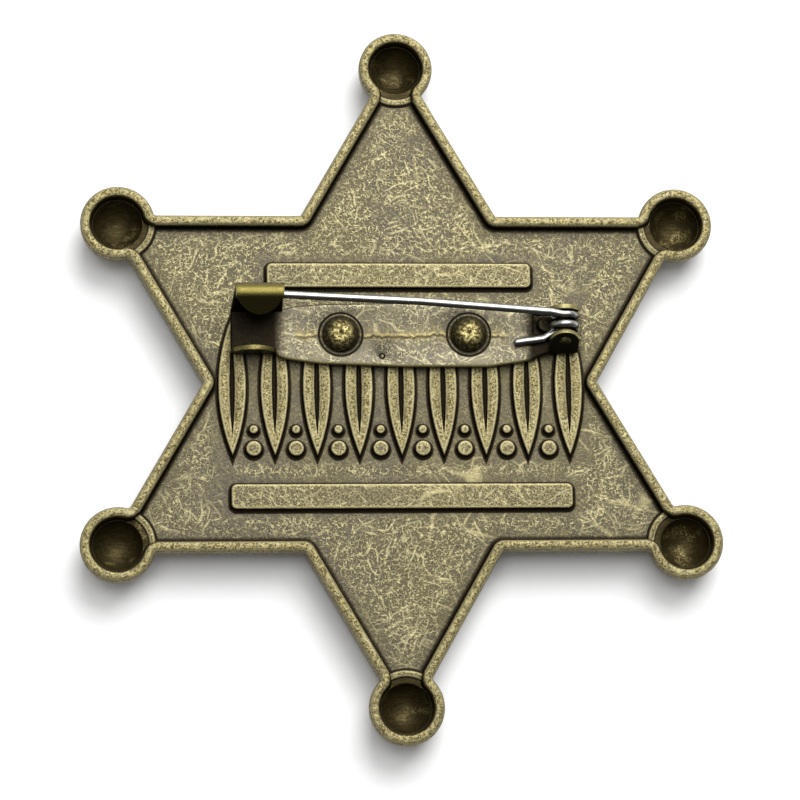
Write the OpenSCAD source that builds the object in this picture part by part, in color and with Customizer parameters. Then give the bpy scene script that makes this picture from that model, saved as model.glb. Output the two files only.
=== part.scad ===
// Six-pointed star badge with ball tips, seen and laid with its pin side up.
// It lies on the domes of its six ball tips: Z is 0 at their lowest points, +Z leaves the back of the
// badge, +Y is the badge's top and the origin is the middle of the star. Millimetres.

/* [Star] */
// Distance from the middle of the star to the middle of each ball tip
tip_r = 34; // [31:0.5:37]
// Outer radius of each ball tip, which is also the radius of its dome
ball_r = 3.9; // [3.6:0.1:4.3]
// How far the straight sides of a point would meet beyond the middle of its ball
point_reach = 1.65; // [1.2:0.05:2.2]
// Radius of the small fillet where a point's side runs into its ball
neck_fillet_r = 0.35; // [0.2:0.05:0.6]
// Height of the front face above the surface that the domes rest on
front_z = 2.35; // [2:0.05:2.6]
// Thickness of the cast plate between its front and back faces
plate_t = 1.45; // [1.3:0.05:1.7]
// Width of the raised rim that follows the outline
rim_w = 1.15; // [0.9:0.05:1.3]
// Height of the rim above the back face
rim_h = 1.1; // [0.8:0.05:1.4]

/* [Ball tips] */
// Thickness of a dome at its lowest point, below the cup
dome_t = 1.05; // [0.8:0.05:1.5]
// Width of the flat ledge between the mouth of a cup and its round bowl
cup_ledge = 0.15; // [0.1:0.05:0.3]
// Inner radius of the low arc that closes a cup towards the point
arc_inner_r = 3.2; // [3:0.05:3.4]
// Width of that arc
arc_w = 0.75; // [0.5:0.05:0.9]
// Height of that arc above the back face
arc_h = 0.3; // [0.2:0.05:0.5]
// Gap between the ends of that arc and the rim
arc_gap = 0.12; // [0.05:0.01:0.2]

/* [Relief on the back] */
// Height of the cast relief above the back face, and depth of its print in the front face
relief_h = 0.55; // [0.4:0.05:0.7]
// How much smaller the print in the front face is than the relief, on each side
print_inset = 0.3; // [0.2:0.05:0.4]
// Length of the bar above the pin
upper_bar_len = 27.9; // [22:0.1:32]
// Height above the middle of the star of the upper bar's centreline
upper_bar_y = 11.5; // [10.5:0.1:12.5]
// Length of the bar below the frieze
lower_bar_len = 35.6; // [30:0.1:40]
// Distance below the middle of the star of the lower bar's centreline
lower_bar_y = 12; // [11.5:0.1:13]
// Width of both bars
bar_w = 2.7; // [2:0.1:3.2]
// Corner radius of both bars
bar_corner_r = 0.6; // [0.4:0.1:0.8]

/* [Leaf frieze] */
// Number of upright leaves in the frieze
leaf_count = 9; // [7:1:9]
// Distance from one leaf to the next
leaf_pitch = 4.4; // [4.2:0.05:4.5]
// Length of a leaf from point to point
leaf_len = 15; // [13:0.1:15.5]
// Width of a leaf at its middle
leaf_w = 3; // [2.4:0.1:3.2]
// Height of the middle of the leaves above the middle of the star
leaf_y = -0.35; // [-0.6:0.05:0]
// Width of the groove along the middle of a leaf
midrib_w = 0.5; // [0.3:0.05:0.7]
// Depth of that groove
midrib_depth = 0.25; // [0.15:0.05:0.35]
// Radius of the large pellets between the ends of the leaves
pellet_r = 0.85; // [0.6:0.05:1]
// Distance of the large pellets from the leaves' ends
pellet_in = 0.9; // [0.7:0.05:1.2]
// Radius of the small pellets further in
small_pellet_r = 0.5; // [0.3:0.05:0.6]
// Distance of the small pellets from the leaves' ends
small_pellet_in = 2.9; // [2.6:0.1:3.2]

/* [Pin strip] */
// Height above the middle of the star of the strip's centreline
strip_y = 4.9; // [4.5:0.1:5.2]
// Distance of the strip's middle to the right of the star's middle
strip_x = 0.4; // [0:0.1:0.8]
// Thickness of the strip's sheet metal
strip_t = 0.5; // [0.45:0.05:0.6]
// Half the length of the strip's broad middle part
strip_half_len = 15.6; // [15:0.1:16.5]
// Half the greatest width of the strip
strip_half_w = 3.4; // [3.2:0.1:3.6]
// Height of the strip's underside above the back face
strip_rise = 1; // [0.8:0.05:1.3]
// Radius of the cast bosses that carry the strip
boss_r = 2.4; // [2.3:0.1:2.8]
// Gap between parts that are riveted face to face
seat_gap = 0.02; // [0.01:0.01:0.05]

/* [Rivets] */
// Distance between the two rivets
rivet_spacing = 13.4; // [12.5:0.1:14.5]
// Radius of a rivet's domed head
rivet_head_r = 1.9; // [1.7:0.05:2]
// Height of a rivet's head above the strip
rivet_head_h = 1.3; // [1:0.05:1.5]
// Radius of the flat cap on top of the head
rivet_cap_r = 0.9; // [0.6:0.05:1.2]
// Radius of a rivet's shank
shank_r = 0.9; // [0.7:0.05:1.1]
// Depth of the shank's hole below the top of its boss
shank_hole_depth = 1.5; // [1.2:0.1:1.7]
// Width of the ring that the riveting tool pressed into the strip
press_ring_w = 0.25; // [0.15:0.05:0.35]
// Depth of that ring
press_ring_depth = 0.12; // [0.08:0.02:0.2]

/* [Catch] */
// Distance of the catch's middle to the left of the strip's middle
catch_out = 15.25; // [14.5:0.05:15.6]
// Width of the catch along the strip
catch_w = 5; // [4.4:0.1:5.4]
// Distance of the inner face of the tall side from the strip's centreline, at its foot
catch_high_side = 2.4; // [2.2:0.05:2.6]
// Distance of the inner face of the short side from the strip's centreline
catch_low_side = 1.5; // [1.4:0.05:1.8]
// Height of the middle of the hook's bend above the strip
hook_rise = 3.95; // [3.6:0.05:4.4]
// Distance of the middle of the hook's bend from the strip's centreline
hook_side = 3.45; // [3.3:0.05:3.6]
// Gap between the needle and the inside of the hook
hook_clearance = 0.2; // [0.16:0.02:0.26]
// Slope of the hook's flap below level
flap_slope = 40; // [30:1:50]
// Length of the flap from the end of the bend
flap_len = 1.9; // [1.6:0.05:2]
// How much wider the catch is at its foot than at its hook
catch_spread = 0.4; // [0.2:0.1:0.6]
// Width of the short side along the strip
low_side_w = 4.7; // [4.2:0.1:4.8]
// Height of the short side's arched top above the strip
low_side_h = 1.9; // [1.5:0.05:2.4]

/* [Coil and hinge] */
// Distance of the hinge pin's axis to the right of the strip's middle
hinge_out = 16.6; // [16.2:0.1:17]
// Radius of the spring wire in the coil
wire_r = 0.41; // [0.41:0.005:0.44]
// Radius of the coil, to the middle of its wire
coil_r = 1.15; // [1.1:0.01:1.3]
// Radial clearance between the coil and the hinge pin
coil_clearance = 0.07; // [0.03:0.01:0.09]
// Height of the tail's underside above the strip
tail_gap = 0.02; // [0.01:0.01:0.05]
// Distance of the needle's turn of the coil from the strip's centreline
needle_turn_side = 1.62; // [1.6:0.01:1.7]
// Distance between the middles of the two turns of the coil
turn_spacing = 1.02; // [0.96:0.01:1.1]
// Side gap between a turn of the coil and the ear beside it
ear_gap = 0.08; // [0.05:0.01:0.12]
// Thickness of the ears that hold the hinge pin
ear_t = 0.5; // [0.4:0.05:0.55]
// Radius of the ears' round tops
ear_r = 1.55; // [1.5:0.05:1.7]
// Inward lean of the lower ear
ear_lean = 27; // [24:1:29]
// Radial clearance between the hinge pin and the holes of the ears
pin_hole_gap = 0.03; // [0.02:0.01:0.05]
// How far the hinge pin stands out of the ears
pin_proud = 0.12; // [0.05:0.01:0.2]

/* [Needle and tail] */
// Distance from the hinge axis to the needle's point
needle_reach = 33.6; // [33:0.1:34.2]
// Length of the needle's ground point
point_len = 4.2; // [3.5:0.1:5]
// Radius of the needle's blunt end
point_end_r = 0.05; // [0.03:0.01:0.1]
// Radius of the needle's bends, to the middle of the wire
needle_bend_r = 2.5; // [1.5:0.1:2.6]
// Distance from the hinge axis to the needle's first bend
needle_bend_1 = 0.4; // [0.35:0.05:0.5]
// Distance from the hinge axis to the needle's second bend
needle_bend_2 = 1.5; // [1.3:0.05:2]
// Distance from the hinge axis to the needle's third bend
needle_bend_3 = 15.1; // [12:0.1:20]
// How far the needle has gone to the badge's top at its second bend
needle_rise = 0.22; // [0.15:0.01:0.25]
// How far the third bend lies above the straight line from there to the hook
needle_bow = 0.22; // [0.1:0.01:0.3]
// Radius of the tail's bends, to the middle of the wire
tail_bend_r = 0.8; // [0.6:0.05:0.8]
// Distance from the hinge axis to the tail's first bend
tail_bend_1 = 0.3; // [0.25:0.05:0.4]
// Distance from the hinge axis to the tail's second bend
tail_bend_2 = 2.05; // [1.9:0.05:2.3]
// Distance from the hinge axis to the tail's end
tail_reach = 5.05; // [4.5:0.05:6]
// How far the tail has gone to the badge's bottom at its second bend
tail_drop_2 = 1.14; // [1:0.02:1.2]
// How far the tail has gone to the badge's bottom at its end
tail_end_drop = 1.53; // [1.4:0.01:1.6]

/* [Hidden] */
$fn = 64;

// How far a cutting shape runs past the face that it cuts
past = 1;
// How far an arc runs into the line or arc that it would only touch
crossing = 0.01;

// Levels
back_z = front_z + plate_t;
rim_top_z = back_z + rim_h;
relief_top_z = back_z + relief_h;
strip_z = back_z + strip_rise;
strip_top_z = strip_z + strip_t;
boss_top_z = strip_z - seat_gap;

// Star
apex_r = tip_r + point_reach;
tip_angles = [for (k = [0:5]) 30 + 60 * k];
cup_mouth_r = ball_r - rim_w;
bowl_r = cup_mouth_r - cup_ledge;
// The neck fillet's centre touches the ball's circle and the point's straight side from outside
neck_turn = 30 + asin((point_reach / 2 + neck_fillet_r) / (ball_r + neck_fillet_r));
neck_x = (ball_r + neck_fillet_r) * sin(neck_turn);
neck_down = (ball_r + neck_fillet_r) * cos(neck_turn);

// Rivets
rivet_xs = [strip_x - rivet_spacing / 2, strip_x + rivet_spacing / 2];
shank_hole_r = shank_r + seat_gap;

// Outline of the strip: shares of its half length, and of its half width below and above the centreline
STATION_ALONG = 0;
STATION_BELOW = 1;
STATION_ABOVE = 2;
strip_stations = [
    [-1.00, 0.56, 0.72],
    [-0.86, 0.65, 0.78],
    [-0.75, 0.79, 0.88],
    [-0.57, 0.90, 0.95],
    [ 0.00, 1.00, 1.00],
    [ 0.56, 1.00, 0.93],
    [ 0.84, 0.78, 0.77],
    [ 0.95, 0.64, 0.72],
    [ 1.00, 0.56, 0.70]
];

// Catch
catch_x = strip_x - catch_out;
catch_left_x = catch_x - catch_w / 2 - catch_spread;
low_side_x = catch_left_x + low_side_w / 2;
hook_inner_r = wire_r + hook_clearance;
hook_outer_r = hook_inner_r + strip_t;
hook_y = strip_y + hook_side;
hook_z = strip_top_z + hook_rise;
tall_foot_y = strip_y + catch_high_side;
// The tall side runs from its foot to touch the inside of the hook's bend
foot_to_hook = [hook_y - tall_foot_y, hook_rise];
tall_lean = atan2(foot_to_hook[0], foot_to_hook[1]) + asin(hook_inner_r / norm(foot_to_hook));
tall_len = sqrt(pow(norm(foot_to_hook), 2) - pow(hook_inner_r, 2));
// The bend runs this many degrees into the tall side and into the flap, so that they are one sheet
bend_overlap = 1;
low_side_y = strip_y - catch_low_side;
low_side_r = (pow(low_side_w / 2, 2) + pow(low_side_h, 2)) / (2 * low_side_h);
// The flap's rounded end, seen from above
flap_round_r = catch_w / 2;
flap_end_y = hook_y - hook_outer_r * sin(flap_slope) - flap_len * cos(flap_slope);

// Coil and hinge
hinge_x = strip_x + hinge_out;
coil_z = strip_top_z + tail_gap + wire_r + coil_r;
pin_r = coil_r - wire_r - coil_clearance;
pin_hole_r = pin_r + pin_hole_gap;
needle_turn_y = strip_y + needle_turn_side;
spring_turn_y = needle_turn_y - turn_spacing;
upper_ear_y = needle_turn_y + wire_r + ear_gap;
ear_rise = coil_z - strip_top_z;
// The lower ear leans in, so that its inner face just clears the top of the coil
lower_ear_y = spring_turn_y - (wire_r + ear_gap) / cos(ear_lean) - (ear_rise + coil_r) * tan(ear_lean);
lower_ear_outer_y = lower_ear_y + ear_rise * tan(ear_lean) - ear_t / cos(ear_lean);
window_x = hinge_x - 3;
window_end_x = hinge_x + 0.9;
window_low_y = spring_turn_y - wire_r - ear_gap;

// A turn stops where its end would touch the straight wire that leaves it
turn_open_angle = asin((coil_r - 2.15 * wire_r) / coil_r);
// Straight runs of the wire are a hair finer than its turns and bends, and start this far inside them
run_r = wire_r - 0.01;
point_start_r = run_r - 0.01;
run_start = 0.02;

// Needle: it leaves the top of its turn, bends twice and runs through the middle of the hook
needle_root = [hinge_x, needle_turn_y, coil_z + coil_r];
hook_point = [catch_x, hook_y, hook_z];
needle_slope = (hook_point[2] - needle_root[2]) / (hinge_x - catch_x - needle_bend_1);
needle_first = needle_root - [needle_bend_1, 0, 0];
needle_second = needle_first
    + [-1, 0, needle_slope] * (needle_bend_2 - needle_bend_1) + [0, needle_rise, 0];
third_share = (needle_bend_3 - needle_bend_2) / (needle_second[0] - catch_x);
needle_third = needle_second + (hook_point - needle_second) * third_share + [0, needle_bow, 0];
last_line = (hook_point - needle_third) / (needle_third[0] - catch_x);
taper_point = needle_third + last_line * (needle_reach - point_len - needle_bend_3);
needle_point = needle_third + last_line * (needle_reach - needle_bend_3);

// Tail: it leaves the bottom of its turn, bends twice and lies along the strip
tail_root = [hinge_x, spring_turn_y, coil_z - coil_r];
tail_path = [
    tail_root,
    tail_root - [tail_bend_1, 0, 0],
    tail_root - [tail_bend_2, tail_drop_2, 0],
    tail_root - [tail_reach, tail_end_drop, 0]
];

// Outline of the whole star, inset from its edge
module star_outline(inset) {
    star_points(inset);
    for (a = tip_angles)
        rotate(a)
            translate([tip_r, 0])
                circle(r = ball_r - inset);
}

// The straight-sided points with their neck fillets, without the balls
module star_points(inset) {
    for (a = [30, 90])
        rotate(a)
            circle(r = apex_r - 2 * inset, $fn = 3);
    for (a = tip_angles)
        rotate(a - 90)
            for (side = [0, 1])
                mirror([side, 0])
                    neck_web(inset);
}

// Fills the corner between a ball and a side of its point, up to the fillet's arc. The arc crosses both
// by a hair, because shapes that only touch leave slivers.
module neck_web(inset) {
    centre = [neck_x, tip_r - neck_down];
    difference() {
        polygon([[0, tip_r], centre, [0, centre[1] - neck_x * tan(30)]]);
        translate(centre)
            circle(r = neck_fillet_r + inset + crossing);
    }
}

// Hemisphere with a straight wall above it, upright on the origin
module dome_blank(r, top) {
    rotate_extrude() {
        intersection() {
            translate([0, r])
                circle(r = r);
            square([r, r]);
        }
        translate([0, r])
            square([r, top - r]);
    }
}

module rounded_bar(length, width, corner) {
    square([length, width - 2 * corner], center = true);
    square([length - 2 * corner, width], center = true);
    for (x = [-1, 1], y = [-1, 1])
        translate([x * (length / 2 - corner), y * (width / 2 - corner)])
            circle(r = corner);
}

// Upright leaf with two pointed ends, cut by two arcs
module leaf(length, width) {
    arc_r = (pow(length, 2) + pow(width, 2)) / (4 * width);
    intersection() {
        translate([arc_r - width / 2, 0])
            circle(r = arc_r, $fn = 180);
        translate([width / 2 - arc_r, 0])
            circle(r = arc_r, $fn = 180);
    }
}

// Places its children at each leaf of the frieze
module each_leaf(count) {
    for (k = [0:count - 1])
        translate([(k - (count - 1) / 2) * leaf_pitch, leaf_y])
            children();
}

module bars(inset) {
    translate([0, upper_bar_y])
        rounded_bar(upper_bar_len - 2 * inset, bar_w - 2 * inset, bar_corner_r - inset);
    translate([0, -lower_bar_y])
        rounded_bar(lower_bar_len - 2 * inset, bar_w - 2 * inset, bar_corner_r - inset);
}

module frieze() {
    each_leaf(leaf_count)
        leaf(leaf_len, leaf_w);
    each_leaf(leaf_count - 1)
        for (side = [-1, 1]) {
            translate([0, side * (leaf_len / 2 - pellet_in)])
                circle(r = pellet_r);
            translate([0, side * (leaf_len / 2 - small_pellet_in)])
                circle(r = small_pellet_r);
        }
}

module star_body() {
    color([0.36, 0.31, 0.22])
    difference() {
        union() {
            difference() {
                union() {
                    translate([0, 0, front_z])
                        linear_extrude(height = rim_top_z - front_z + past)
                            star_points(0);
                    for (a = tip_angles)
                        rotate(a)
                            translate([tip_r, 0, 0])
                                dome_blank(ball_r, rim_top_z + past);
                }
                // One cut levels the rim of the points and of the balls
                translate([0, 0, rim_top_z])
                    cylinder(r = tip_r + 2 * ball_r, h = 2 * past);
                translate([0, 0, back_z])
                    linear_extrude(height = rim_h + 2 * past)
                        star_outline(rim_w);
                for (a = tip_angles)
                    rotate(a)
                        translate([tip_r, 0, dome_t])
                            dome_blank(bowl_r, rim_top_z + past);
            }
            // Relief, low arcs and bosses are cast with the plate and start inside it
            translate([0, 0, back_z - plate_t / 2])
                linear_extrude(height = relief_top_z - back_z + plate_t / 2) {
                    bars(0);
                    frieze();
                }
            for (a = tip_angles)
                translate([0, 0, back_z - plate_t / 2])
                    linear_extrude(height = arc_h + plate_t / 2)
                        cup_arc(a);
            for (x = rivet_xs)
                translate([x, strip_y, back_z - plate_t / 2])
                    cylinder(r = boss_r, h = boss_top_z - back_z + plate_t / 2);
        }
        // Blind holes for the rivets
        for (x = rivet_xs)
            translate([x, strip_y, boss_top_z - shank_hole_depth])
                cylinder(r = shank_hole_r, h = shank_hole_depth + past);
        // Midrib grooves
        translate([0, 0, relief_top_z - midrib_depth])
            linear_extrude(height = midrib_depth + seat_gap)
                difference() {
                    each_leaf(leaf_count)
                        leaf(leaf_len - 2 * pellet_in, midrib_w);
                    for (x = rivet_xs)
                        translate([x, strip_y])
                            circle(r = boss_r + past);
                }
        // Print of the relief in the front face
        translate([0, 0, front_z - past])
            linear_extrude(height = relief_h + past) {
                bars(print_inset);
                each_leaf(leaf_count)
                    leaf(leaf_len - 4 * print_inset, leaf_w - 2 * print_inset);
            }
    }
}

// Low arc between the rims that closes the cup of the ball at angle a
module cup_arc(a) {
    intersection() {
        rotate(a)
            translate([tip_r, 0])
                difference() {
                    circle(r = arc_inner_r + arc_w);
                    circle(r = arc_inner_r);
                }
        star_points(rim_w + arc_gap);
    }
}

// Extrudes a shape drawn in Y and Z along X
module along_x(start_x, length) {
    translate([start_x, 0, 0])
        rotate([90, 0, 90])
            linear_extrude(height = length)
                children();
}

module strip_outline() {
    low = [
        for (s = strip_stations)
            [strip_x + s[STATION_ALONG] * strip_half_len, strip_y - s[STATION_BELOW] * strip_half_w]
    ];
    high = [
        for (k = [len(strip_stations) - 1:-1:0])
            [
                strip_x + strip_stations[k][STATION_ALONG] * strip_half_len,
                strip_y + strip_stations[k][STATION_ABOVE] * strip_half_w
            ]
    ];
    polygon(concat(low, high));
    // Floor of the catch
    translate([catch_left_x, low_side_y - strip_t])
        square([catch_w + catch_spread, tall_foot_y + strip_t / 2 - low_side_y + strip_t]);
    // Floor under the ears
    translate([hinge_x - ear_r, lower_ear_y - ear_t / cos(ear_lean)])
        square([2 * ear_r, upper_ear_y + ear_t - lower_ear_y + ear_t / cos(ear_lean)]);
}

// Straight tall side, from inside the floor to the start of the hook's bend
module tall_side_section() {
    translate([hook_y, hook_z])
        rotate(-tall_lean)
            translate([hook_inner_r, -tall_len - strip_t / 2])
                square([strip_t, tall_len + strip_t / 2]);
}

// The hook's bend and the flap that folds down from it
module hook_section() {
    bend_sweep = 90 + flap_slope + tall_lean + 2 * bend_overlap;
    translate([hook_y, hook_z]) {
        intersection() {
            difference() {
                circle(r = hook_outer_r);
                circle(r = hook_inner_r);
            }
            polygon(concat(
                [[0, 0]],
                [for (k = [0:4]) 2 * hook_outer_r * turn(k * bend_sweep / 4 - tall_lean - bend_overlap)]
            ));
        }
        rotate(flap_slope)
            translate([-flap_len, hook_inner_r])
                square([flap_len, strip_t]);
    }
}

function turn(angle) = [cos(angle), sin(angle)];

module ear() {
    rotate([90, 0, 0])
        linear_extrude(height = ear_t) {
            translate([0, ear_rise])
                circle(r = ear_r);
            translate([-ear_r, -strip_t / 2])
                square([2 * ear_r, ear_rise + strip_t / 2]);
        }
}

module catch_sides() {
    // The tall side narrows from its foot to its hook
    intersection() {
        along_x(catch_left_x, catch_w + catch_spread)
            tall_side_section();
        translate([catch_left_x, hook_y + hook_outer_r, strip_z])
            rotate([90, 0, 0])
                linear_extrude(height = hook_side + hook_outer_r)
                    polygon([
                        [0, 0],
                        [catch_spread + catch_w, 0],
                        [catch_spread + catch_w, strip_t + hook_rise + hook_outer_r],
                        [catch_spread, strip_t + hook_rise + hook_outer_r]
                    ]);
    }
    // Seen from above, the flap's end is round
    intersection() {
        along_x(catch_x - catch_w / 2, catch_w)
            hook_section();
        translate([catch_x, flap_end_y + flap_round_r, strip_z])
            linear_extrude(height = hook_z + hook_outer_r) {
                circle(r = flap_round_r);
                translate([-flap_round_r, 0])
                    square([2 * flap_round_r, hook_outer_r + hook_side]);
            }
    }
    // Short side with its arched top
    translate([low_side_x, low_side_y, strip_top_z])
        rotate([90, 0, 0])
            linear_extrude(height = strip_t)
                intersection() {
                    translate([0, low_side_h - low_side_r])
                        circle(r = low_side_r);
                    translate([-low_side_w / 2, -strip_t / 2])
                        square([low_side_w, low_side_h + strip_t]);
                }
}

module pin_strip() {
    color([0.42, 0.39, 0.33])
    difference() {
        union() {
            translate([0, 0, strip_z])
                linear_extrude(height = strip_t)
                    strip_outline();
            catch_sides();
            translate([hinge_x, upper_ear_y + ear_t, strip_top_z])
                ear();
            translate([hinge_x, lower_ear_y, strip_top_z])
                rotate([-ear_lean, 0, 0])
                    ear();
        }
        // Window under the coil
        translate([window_x, window_low_y, strip_z - past])
            cube([window_end_x - window_x, upper_ear_y - window_low_y, strip_t + 2 * past]);
        // Hinge pin's holes
        translate([hinge_x, strip_y + strip_half_w + past, coil_z])
            rotate([90, 0, 0])
                cylinder(r = pin_hole_r, h = 2 * (strip_half_w + past));
        for (x = rivet_xs)
            translate([x, strip_y, strip_z]) {
                translate([0, 0, -past])
                    cylinder(r = shank_hole_r, h = strip_t + 2 * past);
                translate([0, 0, strip_t - press_ring_depth])
                    difference() {
                        cylinder(r = rivet_head_r + 2 * press_ring_w, h = past);
                        translate([0, 0, -past])
                            cylinder(r = rivet_head_r + press_ring_w, h = 3 * past);
                    }
            }
    }
}

// Rivet with a domed head and a flat cap, standing on the strip
module rivet(x) {
    drop = rivet_head_r - rivet_cap_r;
    dome_r = (pow(drop, 2) + pow(rivet_head_h, 2)) / (2 * drop);
    color([0.55, 0.47, 0.27])
    translate([x, strip_y, strip_top_z + seat_gap])
        rotate_extrude() {
            intersection() {
                square([rivet_head_r, rivet_head_h]);
                union() {
                    square([rivet_head_r - drop, rivet_head_h]);
                    translate([rivet_head_r - dome_r, 0])
                        circle(r = dome_r);
                }
            }
            translate([0, seat_gap - shank_hole_depth - strip_t])
                square([shank_r, shank_hole_depth + strip_t]);
        }
}

module rivet_left() {
    rivet(rivet_xs[0]);
}

module rivet_right() {
    rivet(rivet_xs[1]);
}

module hinge_pin() {
    color([0.5, 0.45, 0.36])
    translate([hinge_x, upper_ear_y + ear_t + pin_proud, coil_z])
        rotate([90, 0, 0])
            cylinder(r = pin_r, h = upper_ear_y + ear_t - lower_ear_outer_y + 2 * pin_proud);
}

function unit(v) = v / norm(v);

// Turns the Z axis into direction d
function bearing(d) = [0, acos(d[2]), atan2(d[1], d[0])];

// Angle about a wire of direction d, after its bearing, that points the X axis to direction aside
function roll_to(d, aside) =
    let (
        inclination = acos(d[2]),
        azimuth = atan2(d[1], d[0]),
        along = aside[0] * cos(azimuth) + aside[1] * sin(azimuth),
        across = aside[1] * cos(azimuth) - aside[0] * sin(azimuth)
    )
    atan2(across, along * cos(inclination) - aside[2] * sin(inclination));

// Bend of the wire that leaves the origin along Z and turns towards X
module elbow(angle, bend_r) {
    translate([bend_r, 0, 0])
        rotate([90, 0, 0])
            rotate([0, 0, 180 - angle])
                rotate_extrude(angle = angle)
                    translate([bend_r, 0])
                        circle(r = wire_r);
}

// Round wire along straight runs between points, with a round bend at each inner point
module bent_wire(points, bend_r) {
    last = len(points) - 1;
    runs = [for (k = [0:last - 1]) unit(points[k + 1] - points[k])];
    turns = [for (k = [0:last]) k == 0 || k == last ? 0 : acos(runs[k - 1] * runs[k])];
    // Length of straight run that each bend takes up on either side of its point
    taken = [for (t = turns) bend_r * tan(t / 2)];
    for (k = [0:last - 1]) {
        run_end = k == last - 1 ? 0 : run_start;
        translate(points[k] + runs[k] * (taken[k] - run_start))
            rotate(bearing(runs[k]))
                cylinder(
                    r = run_r,
                    h = norm(points[k + 1] - points[k]) - taken[k] - taken[k + 1] + run_start + run_end
                );
    }
    for (k = [1:1:last - 1])
        translate(points[k] - runs[k - 1] * taken[k])
            rotate(bearing(runs[k - 1]))
                rotate([0, 0, roll_to(runs[k - 1], runs[k] - runs[k - 1])])
                    elbow(turns[k], bend_r);
}

// Part of a turn of the coil around the hinge axis, from one angle to another. The angle is 0 towards
// the badge's right and 90 towards the pin side.
module coil_turn(y, from_angle, to_angle) {
    translate([hinge_x, y, coil_z])
        rotate([90, 0, 0])
            rotate([0, 0, from_angle])
                rotate_extrude(angle = to_angle - from_angle)
                    translate([coil_r, 0])
                        circle(r = wire_r);
}

module pin_needle() {
    color([0.8, 0.81, 0.82]) {
        coil_turn(needle_turn_y, -180 - turn_open_angle, 90);
        bent_wire([needle_root, needle_first, needle_second, needle_third, taper_point], needle_bend_r);
        // Ground point
        translate(taper_point - unit(last_line) * run_start)
            rotate(bearing(unit(last_line)))
                cylinder(
                    r1 = point_start_r,
                    r2 = point_end_r,
                    h = norm(needle_point - taper_point) + run_start
                );
    }
}

module coil_spring() {
    color([0.8, 0.81, 0.82]) {
        coil_turn(spring_turn_y, -90, 180 + turn_open_angle);
        bent_wire(tail_path, tail_bend_r);
    }
}

star_body();
pin_strip();
rivet_left();
rivet_right();
hinge_pin();
pin_needle();
coil_spring();
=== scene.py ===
import math

import bmesh
import bpy
from mathutils import Matrix, Vector


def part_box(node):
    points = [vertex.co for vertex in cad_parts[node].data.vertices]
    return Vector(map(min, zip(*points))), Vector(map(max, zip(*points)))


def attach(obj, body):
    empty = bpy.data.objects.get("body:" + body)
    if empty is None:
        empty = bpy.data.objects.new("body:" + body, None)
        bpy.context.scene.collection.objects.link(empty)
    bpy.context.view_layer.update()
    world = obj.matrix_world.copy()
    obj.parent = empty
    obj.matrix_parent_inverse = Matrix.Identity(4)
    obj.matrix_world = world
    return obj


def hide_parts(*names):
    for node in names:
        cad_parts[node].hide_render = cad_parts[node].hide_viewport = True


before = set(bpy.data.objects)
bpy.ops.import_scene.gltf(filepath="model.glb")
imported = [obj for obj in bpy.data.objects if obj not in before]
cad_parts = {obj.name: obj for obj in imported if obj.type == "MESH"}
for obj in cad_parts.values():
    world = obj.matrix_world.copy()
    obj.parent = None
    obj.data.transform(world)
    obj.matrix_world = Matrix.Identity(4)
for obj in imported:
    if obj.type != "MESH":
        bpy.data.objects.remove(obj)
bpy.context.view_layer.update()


# Star casting. One zinc alloy casting with a dark antique brass finish: a flat six-pointed plate with a
# crowned rim along its edge and a hollow dome at each tip. It lies on the domes with its back up.
MM = 0.001
TIP_R = 34.0
BALL_R = 3.9
POINT_REACH = 1.65
NECK_FILLET_R = 0.35
CORNER_R = 0.15
FRONT_Z = 2.35
BACK_Z = 3.8
RIM_TOP_Z = 4.9
DOME_T = 1.05
CUP_R = 2.6
BALL_STEPS = 26
FILLET_STEPS = 8
SIDE_STEPS = 14
CORNER_STEPS = 5

apex_r = TIP_R + POINT_REACH
neck_turn = math.radians(30) + math.asin((POINT_REACH / 2 + NECK_FILLET_R) / (BALL_R + NECK_FILLET_R))
neck_centre = (
    (BALL_R + NECK_FILLET_R) * math.sin(neck_turn),
    TIP_R - (BALL_R + NECK_FILLET_R) * math.cos(neck_turn),
)
corner_out = apex_r / math.sqrt(3) + CORNER_R / math.cos(math.radians(30))
corner_centre = (corner_out * math.sin(math.radians(30)), corner_out * math.cos(math.radians(30)))


def half_tip(inset, ball_inset):
    """Half of the star's outline around the tip that points to +Y, from the ball's far end to the inner corner."""
    points = []
    for k in range(BALL_STEPS):
        t = (math.pi - neck_turn) * k / BALL_STEPS
        r = BALL_R - ball_inset
        points.append((r * math.sin(t), TIP_R + r * math.cos(t)))
    for k in range(FILLET_STEPS):
        share = k / FILLET_STEPS
        phi = math.pi / 2 + neck_turn + share * (math.radians(210) - math.pi / 2 - neck_turn)
        r = NECK_FILLET_R + ball_inset + (inset - ball_inset) * share
        points.append((neck_centre[0] + r * math.cos(phi), neck_centre[1] + r * math.sin(phi)))
    normal = (math.cos(math.radians(30)), math.sin(math.radians(30)))
    start = [neck_centre[i] - (NECK_FILLET_R + inset) * normal[i] for i in (0, 1)]
    end = [corner_centre[i] - (CORNER_R + inset) * normal[i] for i in (0, 1)]
    for k in range(SIDE_STEPS):
        share = k / SIDE_STEPS
        points.append(tuple(start[i] + (end[i] - start[i]) * share for i in (0, 1)))
    for k in range(CORNER_STEPS + 1):
        phi = math.radians(30 + 30 * k / CORNER_STEPS)
        r = CORNER_R + inset
        points.append((corner_centre[0] - r * math.cos(phi), corner_centre[1] - r * math.sin(phi)))
    return points


def star_ring(inset, ball_inset):
    """The whole outline, inset from the star's edge, as one loop of points."""
    right = half_tip(inset, ball_inset)
    left = [(-x, y) for x, y in reversed(right)]
    tip = left[:-1] + right[:-1]
    loop = []
    for k in range(6):
        c, s = math.cos(math.radians(-60 * k)), math.sin(math.radians(-60 * k))
        loop += [(x * c - y * s, x * s + y * c) for x, y in tip]
    return loop


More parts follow.
